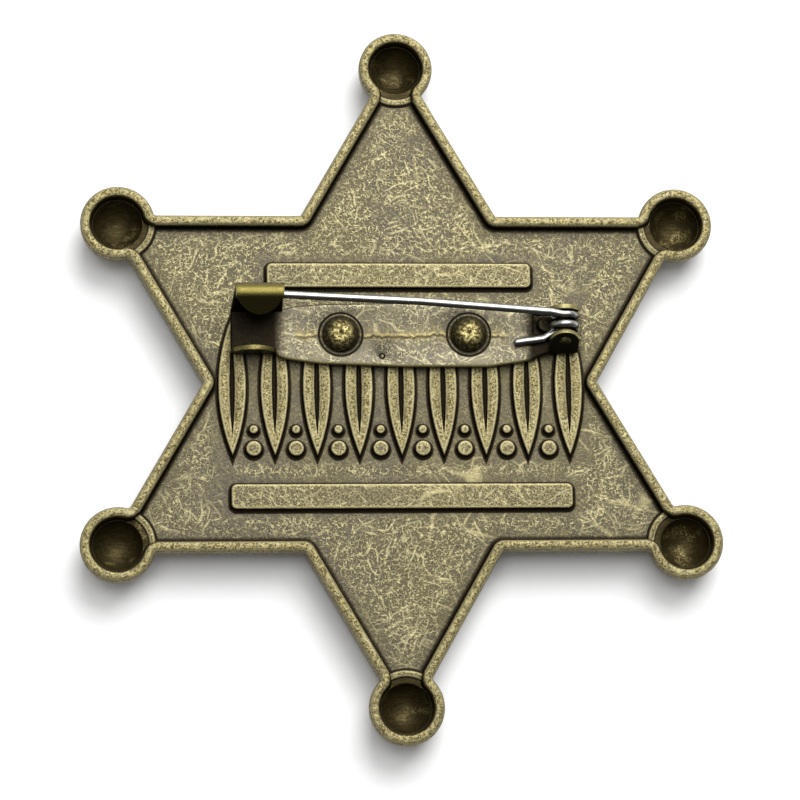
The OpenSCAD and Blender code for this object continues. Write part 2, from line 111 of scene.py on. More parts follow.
def circle(centre, r, count):
    return [
        (centre[0] + r * math.cos(2 * math.pi * k / count), centre[1] + r * math.sin(2 * math.pi * k / count))
        for k in range(count)
    ]


def set_marks(bm, v, **marks):
    """Notes on the vertex how worn, dark or rubbed the metal is there, and whether it lies in a hollow."""
    for name, value in marks.items():
        v[bm.verts.layers.float[name]] = value


def add_ring(bm, points, z, worn=0.0, grime=0.0, hollow=0.0):
    """Adds a level loop of points in millimetres and returns its vertices."""
    rubbed = 0.15 if z <= BACK_Z + 0.02 else 0.9
    ring = [bm.verts.new((x * MM, y * MM, z * MM)) for x, y in points]
    for v in ring:
        set_marks(bm, v, worn=worn, grime=grime, rubbed=rubbed, hollow=hollow)
    return ring


def skin(bm, rings, closed=True):
    """Joins neighbouring loops of equal length with faces."""
    for low, high in zip(rings, rings[1:]):
        count = len(low)
        for k in range(count if closed else count - 1):
            j = (k + 1) % count
            bm.faces.new((low[k], low[j], high[j], high[k]))


def loop_edges(bm, ring):
    edges = []
    for k, v in enumerate(ring):
        w = ring[(k + 1) % len(ring)]
        edges.append(bm.edges.get((v, w)) or bm.edges.new((v, w)))
    return edges


def fill(bm, rings):
    """Fills the first loop, with the others as holes in it."""
    edges = [e for ring in rings for e in loop_edges(bm, ring)]
    bmesh.ops.triangle_fill(bm, use_beauty=True, edges=edges, normal=(0, 0, 1))


def close_solid(bm, rings):
    """Skins stacked loops and fills the first and the last one."""
    skin(bm, rings)
    fill(bm, rings[:1])
    fill(bm, rings[-1:])


def close_bar(bm, sections):
    """Skins a row of sections and closes each end with one face."""
    skin(bm, sections)
    bm.faces.new(sections[0])
    bm.faces.new(list(reversed(sections[-1])))


def fan(bm, ring, tip):
    for k, v in enumerate(ring):
        bm.faces.new((v, ring[(k + 1) % len(ring)], tip))


def turned(bm, centre, profile, base_z=0.0, sides=64):
    """Round loops about a centre. Columns of the profile: radius, height, how worn, how much patina and painted shade.
    """
    return [add_ring(bm, circle(centre, r, sides), base_z + z, worn, grime) for r, z, worn, grime in profile]


def start_mesh():
    bm = bmesh.new()
    for mark in ("worn", "grime", "rubbed", "hollow"):
        bm.verts.layers.float.new(mark)
    return bm


def new_object(name, data):
    obj = bpy.data.objects.new(name, data)
    bpy.context.scene.collection.objects.link(obj)
    return obj


def finish_mesh(bm, name, sharp_deg=50.0):
    """Welds and orients the faces, shades them smooth between sharp edges and returns the new object."""
    bmesh.ops.remove_doubles(bm, verts=bm.verts, dist=0.002 * MM)
    bmesh.ops.recalc_face_normals(bm, faces=bm.faces)
    for face in bm.faces:
        face.smooth = True
    for edge in bm.edges:
        if len(edge.link_faces) == 2 and edge.calc_face_angle(0.0) > math.radians(sharp_deg):
            edge.smooth = False
    mesh = bpy.data.meshes.new(name)
    bm.to_mesh(mesh)
    bm.free()
    return new_object(name, mesh)


bm = start_mesh()
# Outside of the ball tips: the dome is a hemisphere, so it is narrower than the rim below the ball's middle
dome_inset = lambda z: BALL_R - math.sqrt(BALL_R ** 2 - (BALL_R - z) ** 2) if z < BALL_R else 0.0
# Columns: inset, height, how worn the metal is, how much dark patina and painted shade lie on it. From row
# INNER_WALL on, the profile runs down the inner wall of the rim, dark there with patina and painted shade.
INNER_WALL = 14
rim_profile = [
    (0.25, FRONT_Z, 0.3, 0.2),
    (0.08, 2.41, 0.6, 0.1),
    (0.00, 2.58, 0.4, 0.1),
    (0.00, 3.20, 0.2, 0.1),
    (0.00, 3.80, 0.2, 0.1),
    (0.00, 4.35, 0.3, 0.1),
    (0.02, 4.60, 0.4, 0.2),
    (0.07, 4.74, 0.6, 0.2),
    (0.15, 4.82, 1.0, 0.0),
    (0.27, 4.87, 0.7, 0.0),
    (0.42, 4.895, 0.4, 0.0),
    (0.58, RIM_TOP_Z, 0.4, 0.0),
    (0.74, 4.895, 0.4, 0.0),
    (0.88, 4.87, 0.7, 0.0),
    (0.99, 4.81, 1.0, 0.0),
    (1.06, 4.72, 0.9, 0.0),
    (1.10, 4.60, 0.3, 0.4),
    (1.14, 4.35, 0.0, 1.0),
    (1.18, 4.00, 0.0, 1.0),
    (1.22, 3.86, 0.0, 1.0),
    (1.27, BACK_Z + 0.01, 0.0, 1.0),
]
rings = [
    add_ring(bm, star_ring(inset, max(inset if z > 3 else 0.0, dome_inset(z))), z, worn, grime)
    for inset, z, worn, grime in rim_profile
]
# The ground starts with narrow bands, so that the patina and painted shade fade away from the foot of the rim
rings.append(add_ring(bm, star_ring(1.46, 1.272), BACK_Z, 0.0, 0.9))
foot = add_ring(bm, star_ring(1.70, 1.275), BACK_Z, 0.0, 0.12)
rings.append(foot)
skin(bm, rings)
tip_centres = [
    (TIP_R * math.cos(math.radians(30 + 60 * k)), TIP_R * math.sin(math.radians(30 + 60 * k))) for k in range(6)
]
# Painted light: around a bowl the wall of the rim is painted lighter, most of all on the side that faces the badge's
# top and the light; the wall that faces away keeps more painted shade
for ring in rings[INNER_WALL:-1]:
    for v in ring:
        at_x, at_y = v.co.x / MM, v.co.y / MM
        x, y = min(tip_centres, key=lambda c: math.hypot(at_x - c[0], at_y - c[1]))
        if math.hypot(at_x - x, at_y - y) < BALL_R:
            v[bm.verts.layers.float["grime"]] *= 0.9 if at_y > y else 0.35
            set_marks(bm, v, hollow=1.0)
cup_profile = [(CUP_R + 0.014, 3.8, 0.0, 0.5), (CUP_R, 3.79, 0.1, 0.6), (CUP_R - 0.02, 3.6, 0.0, 0.5)] + [
    (
        CUP_R * math.cos(math.radians(a)),
        DOME_T + CUP_R - CUP_R * math.sin(math.radians(a)),
        0.0,
        max(0.0, 0.3 - a / 110),
    )
    for a in range(8, 90, 6)
]
mouths = []
for centre in tip_centres:
    cup = [
        add_ring(bm, circle(centre, r, 64), z, worn, grime, 1.0 if r < CUP_R + 0.01 else 0.0)
        for r, z, worn, grime in cup_profile
    ]
    skin(bm, cup)
    bottom = add_ring(bm, [centre], DOME_T, 0.0, 0.0, 1.0)[0]
    fan(bm, cup[-1], bottom)
    mouths.append(cup[0])
# The middle of the ground is rubbed more than its border
RUB_INSET = 2.7
RUB_TIP_CUT = 1.65
rub_loop = []
for k in range(6):
    tip = (apex_r - 2 * RUB_INSET - RUB_TIP_CUT, 90 - 60 * k)
    corner = ((apex_r - 2 * RUB_INSET) / math.sqrt(3), 60 - 60 * k)
    rub_loop += [(r * math.cos(math.radians(turn)), r * math.sin(math.radians(turn))) for r, turn in (tip, corner)]
rub = add_ring(bm, rub_loop, BACK_Z)
for v in rub:
    set_marks(bm, v, rubbed=1.0)
fill(bm, [foot, rub] + mouths)
fill(bm, [rub])

# Front face, with the print of the bars and leaves, and the domes that stand out of it
UPPER_BAR = (27.9, 11.5)
LOWER_BAR = (35.6, -12.0)
BAR_W = 2.7
BAR_CORNER_R = 0.6
RELIEF_H = 0.55
PRINT_INSET = 0.3
LEAF_COUNT = 9
LEAF_PITCH = 4.4
LEAF_LEN = 15.0
LEAF_W = 3.0
LEAF_Y = -0.35


def bar_ring(length, width, corner, y):
    """Loop around a rounded bar whose middle lies on the badge's middle line at height y."""
    loop = []
    for quadrant, (sx, sy) in enumerate([(1, 1), (-1, 1), (-1, -1), (1, -1)]):
        for k in range(7):
            a = math.radians(90 * quadrant + 15 * k)
            loop.append(
                (
                    sx * (length / 2 - corner) + corner * math.cos(a),
                    y + sy * (width / 2 - corner) + corner * math.sin(a),
                )
            )
    return loop


def leaf_side(length, width, inset, steps=28):
    """Points of the right-hand arc of a leaf from its upper to its lower end."""
    arc_r = (length ** 2 + width ** 2) / (4 * width)
    out = arc_r - width / 2
    r = arc_r - inset
    half = math.sqrt(r * r - out * out)
    side = []
    for k in range(steps + 1):
        y = half * math.cos(math.pi * k / steps)
        side.append((math.sqrt(max(r * r - y * y, 0.0)) - out, y))
    return side


def leaf_ring(length, width, inset, x=0.0, y=0.0):
    side = leaf_side(length, width, inset)
    loop = [(-px, py) for px, py in side] + [(px, py) for px, py in reversed(side[1:-1])]
    return [(x + px, y + py) for px, py in loop]


PRINT_TAPER = 0.06
print_rings = []
prints = [
    [
        bar_ring(length - 2 * inset, BAR_W - 2 * inset, BAR_CORNER_R - PRINT_INSET + 0.01, y)
        for inset in (PRINT_INSET, PRINT_INSET + PRINT_TAPER)
    ]
    for length, y in (UPPER_BAR, LOWER_BAR)
] + [
    [leaf_ring(LEAF_LEN - 4 * PRINT_INSET, LEAF_W - 2 * PRINT_INSET, inset, x, LEAF_Y) for inset in (0.0, PRINT_TAPER)]
    for x in ((k - (LEAF_COUNT - 1) / 2) * LEAF_PITCH for k in range(LEAF_COUNT))
]
for outer, inner in prints:
    mouth = add_ring(bm, outer, FRONT_Z, 0.5, 0.0)
    floor = add_ring(bm, inner, FRONT_Z + RELIEF_H, 0.0, 0.8)
    skin(bm, [mouth, floor])
    fill(bm, [floor])
    print_rings.append(mouth)
dome_rings = []
for centre in tip_centres:
    dome = []
    for a in (None, 63.9, 60, 52, 44, 36, 28, 20, 12, 5):
        angle = math.radians(63.9 if a is None else a)
        z = FRONT_Z if a is None else BALL_R * (1 - math.cos(angle))
        dome.append(add_ring(bm, circle(centre, BALL_R * math.sin(angle), 64), z, 0.5, 0.1))
    skin(bm, dome)
    pole = add_ring(bm, [centre], 0.0, 0.8, 0.0)[0]
    fan(bm, dome[-1], pole)
    dome_rings.append(dome[0])
fill(bm, [rings[0]] + print_rings + dome_rings)
star_casting = finish_mesh(bm, "star_casting")


# Relief cast on the star's back: two rounded bars, a low arc before each cup and the two bosses that carry
# the strip. Its walls have a draft, its shoulders are rounded, and around its foot it is black with patina and painted
# shade.
RELIEF_TOP_Z = BACK_Z + RELIEF_H
# Painted shadow: how far the dark foot of the relief is drawn out towards the badge's bottom
SHADOW_DRAW = 0.12
# Columns: inset, height, how worn, how much patina and painted shade
relief_profile = [
    (-0.36, BACK_Z - 0.03, 0.0, 0.1),
    (-0.29, BACK_Z + 0.006, 0.0, 0.5),
    (-0.21, BACK_Z + 0.012, 0.0, 1.0),
    (-0.06, BACK_Z + 0.03, 0.0, 1.0),
    (-0.01, BACK_Z + 0.12, 0.0, 1.0),
    (0.02, BACK_Z + 0.38, 0.0, 1.0),
    (0.05, BACK_Z + 0.46, 0.2, 0.6),
    (0.10, BACK_Z + 0.51, 0.9, 0.0),
    (0.18, BACK_Z + 0.54, 1.0, 0.0),
    (0.27, BACK_Z + 0.548, 0.8, 0.0),
    (0.42, RELIEF_TOP_Z, 0.2, 0.0),
]


def draw_shadow_down(bm):
    """Draws the dark foot of the walls out a little on the side towards the badge's bottom, as a painted shadow of the
    relief under the light from above.
    """
    for v in bm.verts:
        if v.co.z < (BACK_Z + 0.04) * MM:
            v.co.y -= SHADOW_DRAW * MM


bm = start_mesh()
for length, y in (UPPER_BAR, LOWER_BAR):
    bar = [
        add_ring(bm, bar_ring(length - 2 * i, BAR_W - 2 * i, max(BAR_CORNER_R - i, 0.12), y), z, worn, grime)
        for i, z, worn, grime in relief_profile
    ]
    close_solid(bm, bar)
draw_shadow_down(bm)
relief_bars = finish_mesh(bm, "relief_bars")

BOSS_R = 2.4
STRIP_Y = 4.9
STRIP_Z = 4.8
RIVET_XS = (-6.3, 7.1)
# The bosses, under the strip, are dark almost all over with patina and painted shade
boss_profile = [
    (BOSS_R + 0.10, BACK_Z - 0.05, 0.0, 1.0),
    (BOSS_R + 0.04, BACK_Z + 0.04, 0.0, 1.0),
    (BOSS_R, BACK_Z + 0.15, 0.0, 0.9),
    (BOSS_R, STRIP_Z - 0.10, 0.2, 0.8),
    (BOSS_R - 0.06, STRIP_Z - 0.02, 0.3, 0.8),
    (0.92, STRIP_Z - 0.02, 0.0, 0.9),
    (0.92, BACK_Z + 0.05, 0.0, 1.0),
]
bm = start_mesh()
for x in RIVET_XS:
    close_solid(bm, turned(bm, (x, STRIP_Y), boss_profile))
rivet_bosses = finish_mesh(bm, "rivet_bosses")


# One leaf and one pellet stand for the frieze between the bars: each is modelled once and set out in a row,
# with the same draft, shoulders, patina and painted shadow as the bars. A leaf has a narrow groove along its middle.
MIDRIB_W = 0.5
MIDRIB_DEPTH = 0.25
PELLETS = ((0.85, 0.9), (0.5, 2.9))
bm = start_mesh()
leaf = [
    add_ring(bm, leaf_ring(LEAF_LEN, LEAF_W, i), z, worn, grime) for i, z, worn, grime in relief_profile[:-1]
]
leaf.append(add_ring(bm, leaf_ring(LEAF_LEN - 2, LEAF_W - 0.76, 0), RELIEF_TOP_Z, 0.22, 0.0))
leaf.append(add_ring(bm, leaf_ring(LEAF_LEN - 4.2, MIDRIB_W + 0.12, 0), RELIEF_TOP_Z - 0.01, 0.9, 0.0))
leaf.append(add_ring(bm, leaf_ring(LEAF_LEN - 4.4, MIDRIB_W, 0), RELIEF_TOP_Z - 0.06, 0.0, 0.9))
leaf.append(add_ring(bm, leaf_ring(LEAF_LEN - 4.8, 0.12, 0), RELIEF_TOP_Z - MIDRIB_DEPTH, 0.0, 1.0))
close_solid(bm, leaf)
bmesh.ops.translate(bm, verts=bm.verts, vec=(-(LEAF_COUNT - 1) / 2 * LEAF_PITCH * MM, LEAF_Y * MM, 0))
draw_shadow_down(bm)
leaf_frieze = finish_mesh(bm, "leaf_frieze")
bm = start_mesh()
for r, inward in PELLETS:
    for side in (-1, 1):
        y = LEAF_Y + side * (LEAF_LEN / 2 - inward)
        pellet_profile = [(r - i, z, worn, grime) for i, z, worn, grime in relief_profile]
        close_solid(bm, turned(bm, (0, y), pellet_profile, sides=32))
bmesh.ops.translate(bm, verts=bm.verts, vec=(-(LEAF_COUNT - 2) / 2 * LEAF_PITCH * MM, 0, 0))
draw_shadow_down(bm)
pellet_frieze = finish_mesh(bm, "pellet_frieze")


def set_inputs(node, inputs):
    """Links or sets these inputs of the node."""
    for name, value in inputs.items():
        if isinstance(value, bpy.types.NodeSocket):
            node.id_data.links.new(value, node.inputs[name])
        else:
            node.inputs[name].default_value = value


def add_node(tree, kind, inputs=None, **settings):
    """Adds a node with these settings and links or sets its inputs."""
    node = tree.nodes.new(kind)
    for name, value in settings.items():
        setattr(node, name, value)
    set_inputs(node, inputs or {})
    return node


def new_tree(name, kind, inputs, outputs):
    """A node group. Each input is its label, type and, if it has one, its value, each output its label and type."""
    tree = bpy.data.node_groups.new(name, kind)
    for in_out, sockets in (("INPUT", inputs), ("OUTPUT", outputs)):
        for label, socket_type, *values in sockets:
            socket = tree.interface.new_socket(label, in_out=in_out, socket_type="NodeSocket" + socket_type)
            for value in values:
                socket.default_value = value
    return tree, tree.nodes.new("NodeGroupInput").outputs, tree.nodes.new("NodeGroupOutput")


def piece_tree(name, *inputs):
    """Geometry nodes that take a piece, these inputs and a material."""
    piece = ("Geometry", "Geometry")
    return new_tree(name, "GeometryNodeTree", (piece, *inputs, ("Material", "Material")), (piece,))


def end_tree(tree, given, out, geometry):
    """Realizes the geometry, gives it the material and hands it out."""
    real = add_node(tree, "GeometryNodeRealizeInstances", {"Geometry": geometry})
    painted = {"Geometry": real.outputs["Geometry"], "Material": given["Material"]}
    set_inputs(out, {"Geometry": add_node(tree, "GeometryNodeSetMaterial", painted).outputs["Geometry"]})
    return tree


def row_tree():
    """Geometry nodes that repeat the piece in a straight row of equal steps."""
    tree, given, out = piece_tree("repeat_in_row", ("Count", "Int"), ("Step", "Vector"))
    steps = {"Count": given["Count"], "Offset": given["Step"]}
    line = add_node(tree, "GeometryNodeMeshLine", steps, mode="OFFSET")
    spots = {"Points": line.outputs["Mesh"], "Instance": given["Geometry"]}
    place = add_node(tree, "GeometryNodeInstanceOnPoints", spots)
    return end_tree(tree, given, out, place.outputs["Instances"])


def ring_tree():
    """Geometry nodes that repeat the piece at equal angles around the Z axis."""
    tree, given, out = piece_tree("repeat_around", ("Count", "Int"))
    line = add_node(tree, "GeometryNodeMeshLine", {"Count": given["Count"], "Offset": (0, 0, 0)})
    index = add_node(tree, "GeometryNodeInputIndex")
    part = {0: index.outputs["Index"], 1: given["Count"]}
    share = add_node(tree, "ShaderNodeMath", part, operation="DIVIDE")
    turn = add_node(tree, "ShaderNodeMath", {0: share.outputs[0], 1: 2 * math.pi}, operation="MULTIPLY")
    aim = add_node(tree, "ShaderNodeCombineXYZ", {"Z": turn.outputs[0]})
    spots = {"Points": line.outputs["Mesh"], "Instance": given["Geometry"], "Rotation": aim.outputs["Vector"]}
    place = add_node(tree, "GeometryNodeInstanceOnPoints", spots)
    return end_tree(tree, given, out, place.outputs["Instances"])


def bake_nodes(obj, tree, values):
    """Runs the piece through the geometry nodes with these inputs and keeps the result as its plain mesh."""
    modifier = obj.modifiers.new(tree.name, "NODES")
    modifier.node_group = tree
    for item in tree.interface.items_tree:
        if item.in_out == "INPUT" and item.name in values:
            modifier[item.identifier] = values[item.name]
    depsgraph = bpy.context.evaluated_depsgraph_get()
    mesh = bpy.data.meshes.new_from_object(obj.evaluated_get(depsgraph), depsgraph=depsgraph)
    obj.modifiers.remove(modifier)
    old = obj.data
    obj.data = mesh
    mesh.name = obj.name
    bpy.data.meshes.remove(old)


# Low arc: a ring-shaped ridge across each point that closes the cup's side of it
ARC_R = 3.575
ARC_HALF_ANGLE = 33
ARC_STEPS = 24
# Columns: distance out from the arc's middle line, height above the ground, how worn, how much patina and painted
# shade
arc_section = [
    (-1.00, -0.02, 0.0, 0.3),
    (-0.94, 0.012, 0.0, 0.3),
    (-0.47, 0.015, 0.0, 0.5),
    (-0.40, 0.02, 0.0, 1.0),
    (-0.35, 0.14, 0.2, 0.5),
    (-0.28, 0.26, 1.0, 0.0),
    (-0.18, 0.30, 0.8, 0.0),
    (0.00, 0.285, 0.2, 0.3),
    (0.18, 0.30, 0.8, 0.0),
    (0.28, 0.26, 1.0, 0.0),
    (0.35, 0.14, 0.2, 0.5),
    (0.40, 0.02, 0.0, 1.0),
    (0.56, 0.012, 0.0, 1.0),
    (0.62, -0.02, 0.0, 0.5),
]
bm = start_mesh()
arc_sections = []
for k in range(ARC_STEPS + 1):
    # The arc's ends run into the foot of the rim
    a = math.radians(-90 - ARC_HALF_ANGLE + 2 * ARC_HALF_ANGLE * k / ARC_STEPS)
    section = []
    for out, z, worn, grime in arc_section:
        x, y = (ARC_R + out) * math.cos(a), TIP_R + (ARC_R + out) * math.sin(a)
        section += add_ring(bm, [(x, y)], BACK_Z + z, worn, grime, 1.0 if out < -0.45 else 0.0)
    arc_sections.append(section)
close_bar(bm, arc_sections)
cup_arcs = finish_mesh(bm, "cup_arcs")


# Finish of the casting: dark patina with brighter, yellow metal where it is rubbed. It shows on edges and in
# fine curled strokes that lie in patches, and the patina, with painted shade, stays black in corners and along the
# foot of walls.
def math_node(operation, *values, clamp=False):
    tree = next(value.id_data for value in values if isinstance(value, bpy.types.NodeSocket))
    return add_node(tree, "ShaderNodeMath", dict(enumerate(values)), operation=operation, use_clamp=clamp).outputs[0]


def times(first, *others):
    for value in others:
        first = math_node("MULTIPLY", first, value)
    return first


def largest(first, *others):
    for value in others:
        first = math_node("MAXIMUM", first, value)
    return first


def vector_node(operation, *values):
    tree = values[0].id_data
    return add_node(tree, "ShaderNodeVectorMath", dict(enumerate(values)), operation=operation).outputs["Vector"]


def spread(value, low, high, to_low=0.0, to_high=1.0, smooth=True):
    """Maps value from low..high to 0..1, held at both ends."""
    sockets = {"Value": value, "From Min": low, "From Max": high, "To Min": to_low, "To Max": to_high}
    kind = "SMOOTHSTEP" if smooth else "LINEAR"
    return add_node(value.id_data, "ShaderNodeMapRange", sockets, interpolation_type=kind).outputs["Result"]


def between(value, rise, fall):
    """1 between the rise and the fall, each two heights of the value in millimetres, and 0 outside of them."""
    return times(spread(value, rise[0] * MM, rise[1] * MM), spread(value, fall[0] * MM, fall[1] * MM, 1.0, 0.0))


def noise_node(vector, scale, detail=2.0, roughness=0.5, offset=None, distortion=0.0):
    if offset is not None:
        vector = vector_node("ADD", vector, offset)
    sockets = {"Vector": vector, "Scale": scale, "Detail": detail, "Roughness": roughness, "Distortion": distortion}
    return add_node(vector.id_data, "ShaderNodeTexNoise", sockets).outputs["Fac"]


def mix_colour(fac, a, b):
    a, b = ((*colour, 1.0) if isinstance(colour, tuple) else colour for colour in (a, b))
    return add_node(fac.id_data, "ShaderNodeMix", {0: fac, 6: a, 7: b}, data_type="RGBA").outputs[2]


def paint(base, *layers):
    """Lays colours over the base, each as thick as its mask says."""
    for mask, colour in layers:
        base = mix_colour(mask, base, colour)
    return base


# Fine curled strokes with darker borders: edges of bent cells of three sizes, broken up and gathered in patches
curl_marks, given, out = new_tree(
    "curl_marks",
    "ShaderNodeTree",
    (
        ("Vector", "Vector"), ("Scale", "Float", 1100.0), ("Width", "Float", 0.12), ("Patch Scale", "Float", 120.0),
        ("Cover", "Float", 0.5),
    ),
    (("Mask", "Float"), ("Border", "Float")),
)
vector, scale = given["Vector"], given["Scale"]
bend = add_node(curl_marks, "ShaderNodeTexNoise", {"Vector": vector, "Scale": times(scale, 1.3), "Detail": 1.0})
centred = vector_node("SUBTRACT", bend.outputs["Color"], (0.5, 0.5, 0.5))
warp = {0: centred, "Scale": math_node("DIVIDE", 0.6, scale)}
warp = add_node(curl_marks, "ShaderNodeVectorMath", warp, operation="SCALE").outputs["Vector"]
curled = vector_node("ADD", vector, warp)
strokes, borders = [], []
for size, shift in ((1.0, (0.0, 0.0, 0.0)), (0.72, (0.031, 0.017, 0.005)), (1.5, (0.077, 0.041, 0.023))):
    fine = times(scale, size)
    cells = {"Vector": vector_node("ADD", curled, shift), "Scale": fine}
    away = add_node(curl_marks, "ShaderNodeTexVoronoi", cells, feature="DISTANCE_TO_EDGE").outputs["Distance"]
    width = times(given["Width"], size)
    shown = spread(noise_node(vector, times(fine, 1.9), 0.0, 0.5, shift), 0.46, 0.70)
    strokes.append(times(spread(away, 0.0, width, 1.0, 0.0), shown))
    borders.append(times(spread(away, 0.0, times(width, 2.4), 1.0, 0.0), shown))
patch = noise_node(vector, given["Patch Scale"], 3.0, 0.6, distortion=0.3)
edge = math_node("SUBTRACT", 1.0, given["Cover"])
patches = spread(patch, math_node("SUBTRACT", edge, 0.12), math_node("ADD", edge, 0.12))
set_inputs(out, {"Mask": times(largest(*strokes), patches), "Border": times(largest(*borders), patches)})

# Short scratches in four directions, slightly bowed and gathered in patches
scratches, given, out = new_tree(
    "scratches",
    "ShaderNodeTree",
    (("Vector", "Vector"), ("Scale", "Float", 3000.0), ("Patch Scale", "Float", 200.0)),
    (("Mask", "Float"),),
)
vector = given["Vector"]
bend = add_node(scratches, "ShaderNodeTexNoise", {"Vector": vector, "Scale": 420.0, "Detail": 1.0})
bowed = vector_node("MULTIPLY_ADD", bend.outputs["Color"], (0.0016, 0.0016, 0.0), vector)
lines = []
for turn, shift in (
    (22.0, (0.03, 0.0, 0.0)), (71.0, (0.0, 0.05, 0.0)), (118.0, (0.07, 0.02, 0.0)), (158.0, (0.01, 0.09, 0.0))
):
    along = {"Vector": bowed, "Rotation": (0.0, 0.0, math.radians(turn)), "Scale": (8.0, 1.0, 1.0)}
    along = add_node(scratches, "ShaderNodeMapping", along, vector_type="TEXTURE").outputs["Vector"]
    line = spread(noise_node(along, given["Scale"], 1.0, 0.5, shift), 0.63, 0.72)
    patch = spread(noise_node(vector, given["Patch Scale"], 2.0, 0.6, shift), 0.42, 0.58)
    lines.append(times(line, patch))
set_inputs(out, {"Mask": largest(*lines)})

# Rubbed edges, and corners black with patina and painted shade, from the marks on the mesh, how closed in a place is,
# and a fine speckle
wear_and_shade, given, out = new_tree(
    "wear_and_shade",
    "ShaderNodeTree",
    (
        ("Vector", "Vector"), ("Worn", "Float", 0.0), ("Grime", "Float", 0.0), ("Open", "Float", 1.0),
        ("Speckle Scale", "Float", 2600.0),
    ),
    (("Worn", "Float"), ("Grime", "Float"), ("Speckle", "Float")),
)
speckle = noise_node(given["Vector"], given["Speckle Scale"], 3.0, 0.65)
broken = spread(math_node("ADD", speckle, times(given["Worn"], 0.5)), 0.55, 0.95)
# Painted shade: where ambient occlusion finds a place closed in, it is darkened
closed_in = spread(given["Open"], 0.35, 0.8, 1.0, 0.0)
dark = math_node("MAXIMUM", given["Grime"], closed_in, clamp=True)
bright = times(broken, math_node("SUBTRACT", 1.0, dark))
set_inputs(out, {"Worn": bright, "Grime": dark, "Speckle": spread(speckle, 0.36, 0.66)})


def group_node(tree, group, **values):
    inputs = {label.replace("_", " "): value for label, value in values.items()}
    return add_node(tree, "ShaderNodeGroup", inputs, node_tree=group).outputs


def start_material(name):
    material = bpy.data.materials.new(name)
    material.use_nodes = True
    tree = material.node_tree
    tree.nodes.clear()
    shader = add_node(tree, "ShaderNodeBsdfPrincipled")
    add_node(tree, "ShaderNodeOutputMaterial", {"Surface": shader.outputs["BSDF"]})
    return material, tree, shader, add_node(tree, "ShaderNodeTexCoord").outputs["Object"]


def mesh_mark(tree, name):
    return add_node(tree, "ShaderNodeAttribute", attribute_name=name).outputs["Fac"]


def openness(tree, distance, samples=4):
    return add_node(tree, "ShaderNodeAmbientOcclusion", {"Distance": distance * MM}, samples=samples).outputs["AO"]


def wear_node(tree, place, speckle_scale, opened):
    marks = {"Worn": mesh_mark(tree, "worn"), "Grime": mesh_mark(tree, "grime")}
    return group_node(tree, wear_and_shade, Vector=place, Open=opened, Speckle_Scale=speckle_scale, **marks)


def dent(height, strength, distance):
    """Normal of a surface that rises by up to the distance, in millimetres, where the height says so."""
    sockets = {"Height": height, "Strength": strength, "Distance": distance * MM}
    return add_node(height.id_data, "ShaderNodeBump", sockets).outputs["Normal"]


cast_brass, tree, shader, place = start_material("cast_brass")
marks = group_node(tree, curl_marks, Vector=place, Scale=1500.0, Width=0.115, Patch_Scale=150.0, Cover=0.66)
long_marks = group_node(tree, curl_marks, Vector=place, Scale=110.0, Width=0.016, Patch_Scale=60.0, Cover=0.42)
scored = group_node(tree, scratches, Vector=place, Scale=3000.0, Patch_Scale=200.0)
worn = mesh_mark(tree, "worn")
hollow = mesh_mark(tree, "hollow")
# Ambient occlusion within 0.7 mm adds painted shade in corners and along the foot of walls, less in the bowls
wear = wear_node(tree, place, 4400.0, largest(openness(tree, 0.7, 3), times(hollow, 0.75)))
at = add_node(tree, "ShaderNodeSeparateXYZ", {0: place}).outputs
# The ground stays smooth close to the relief: half length, middle height and half width of each part of it
FRIEZE_BOX = (19.0, -2.6, 5.2)
rubbed = spread(mesh_mark(tree, "rubbed"), 0.0, 1.0, 0.25, 1.0, smooth=False)
raised = spread(at["Z"], (BACK_Z + 0.1) * MM, (BACK_Z + 0.3) * MM)
for half_x, mid_y, half_y in [(length / 2, y, BAR_W / 2) for length, y in (UPPER_BAR, LOWER_BAR)] + [FRIEZE_BOX]:
    out_x = math_node("SUBTRACT", math_node("ABSOLUTE", at["X"]), half_x * MM)
    out_y = math_node("ABSOLUTE", math_node("SUBTRACT", at["Y"], mid_y * MM))
    far = largest(out_x, math_node("SUBTRACT", out_y, half_y * MM))
    clear = spread(far, 0.3 * MM, 1.5 * MM, 0.12, 1.0)
    rubbed = times(rubbed, largest(clear, raised))
clouds = spread(noise_node(place, 160.0, 4.0, 0.6), 0.35, 0.65)
base = mix_colour(clouds, (0.066, 0.058, 0.048), (0.080, 0.069, 0.041))
# Crowned tops are spotted with bright brass and brown patina
spots = spread(wear["Speckle"], 0.38, 0.62)
spotted = mix_colour(spots, (0.085, 0.065, 0.022), (0.40, 0.34, 0.14))
base = paint(
    base,
    (times(wear["Speckle"], 0.55), (0.17, 0.147, 0.075)),
    (times(spread(worn, 0.1, 0.4), 0.85), spotted),
    (times(marks["Border"], rubbed), (0.034, 0.028, 0.016)),
    (times(marks["Mask"], rubbed, 0.75), (0.38, 0.335, 0.175)),
    (times(scored["Mask"], rubbed, 0.75), (0.37, 0.33, 0.18)),
    (times(long_marks["Mask"], 0.8), (0.40, 0.35, 0.18)),
    (times(spread(worn, 0.65, 1.0), 0.75), (0.40, 0.355, 0.20)),
)
# Bowls of the tips: brown patina with faint tool lines and a few golden spots
tool = {"Vector": place, "Rotation": (0.0, 0.0, math.radians(38)), "Scale": (0.12, 1.0, 1.0)}
tool = add_node(tree, "ShaderNodeMapping", tool).outputs["Vector"]
tool_lines = spread(noise_node(tool, 4200.0, 1.0, 0.5), 0.40, 0.60)
bowl = mix_colour(tool_lines, (0.044, 0.033, 0.011), (0.068, 0.052, 0.019))
gold_patches = spread(noise_node(place, 330.0, 2.0, 0.6, (0.2, 0.4, 0.1)), 0.54, 0.66)
bowl = mix_colour(times(spots, gold_patches), bowl, (0.26, 0.21, 0.085))
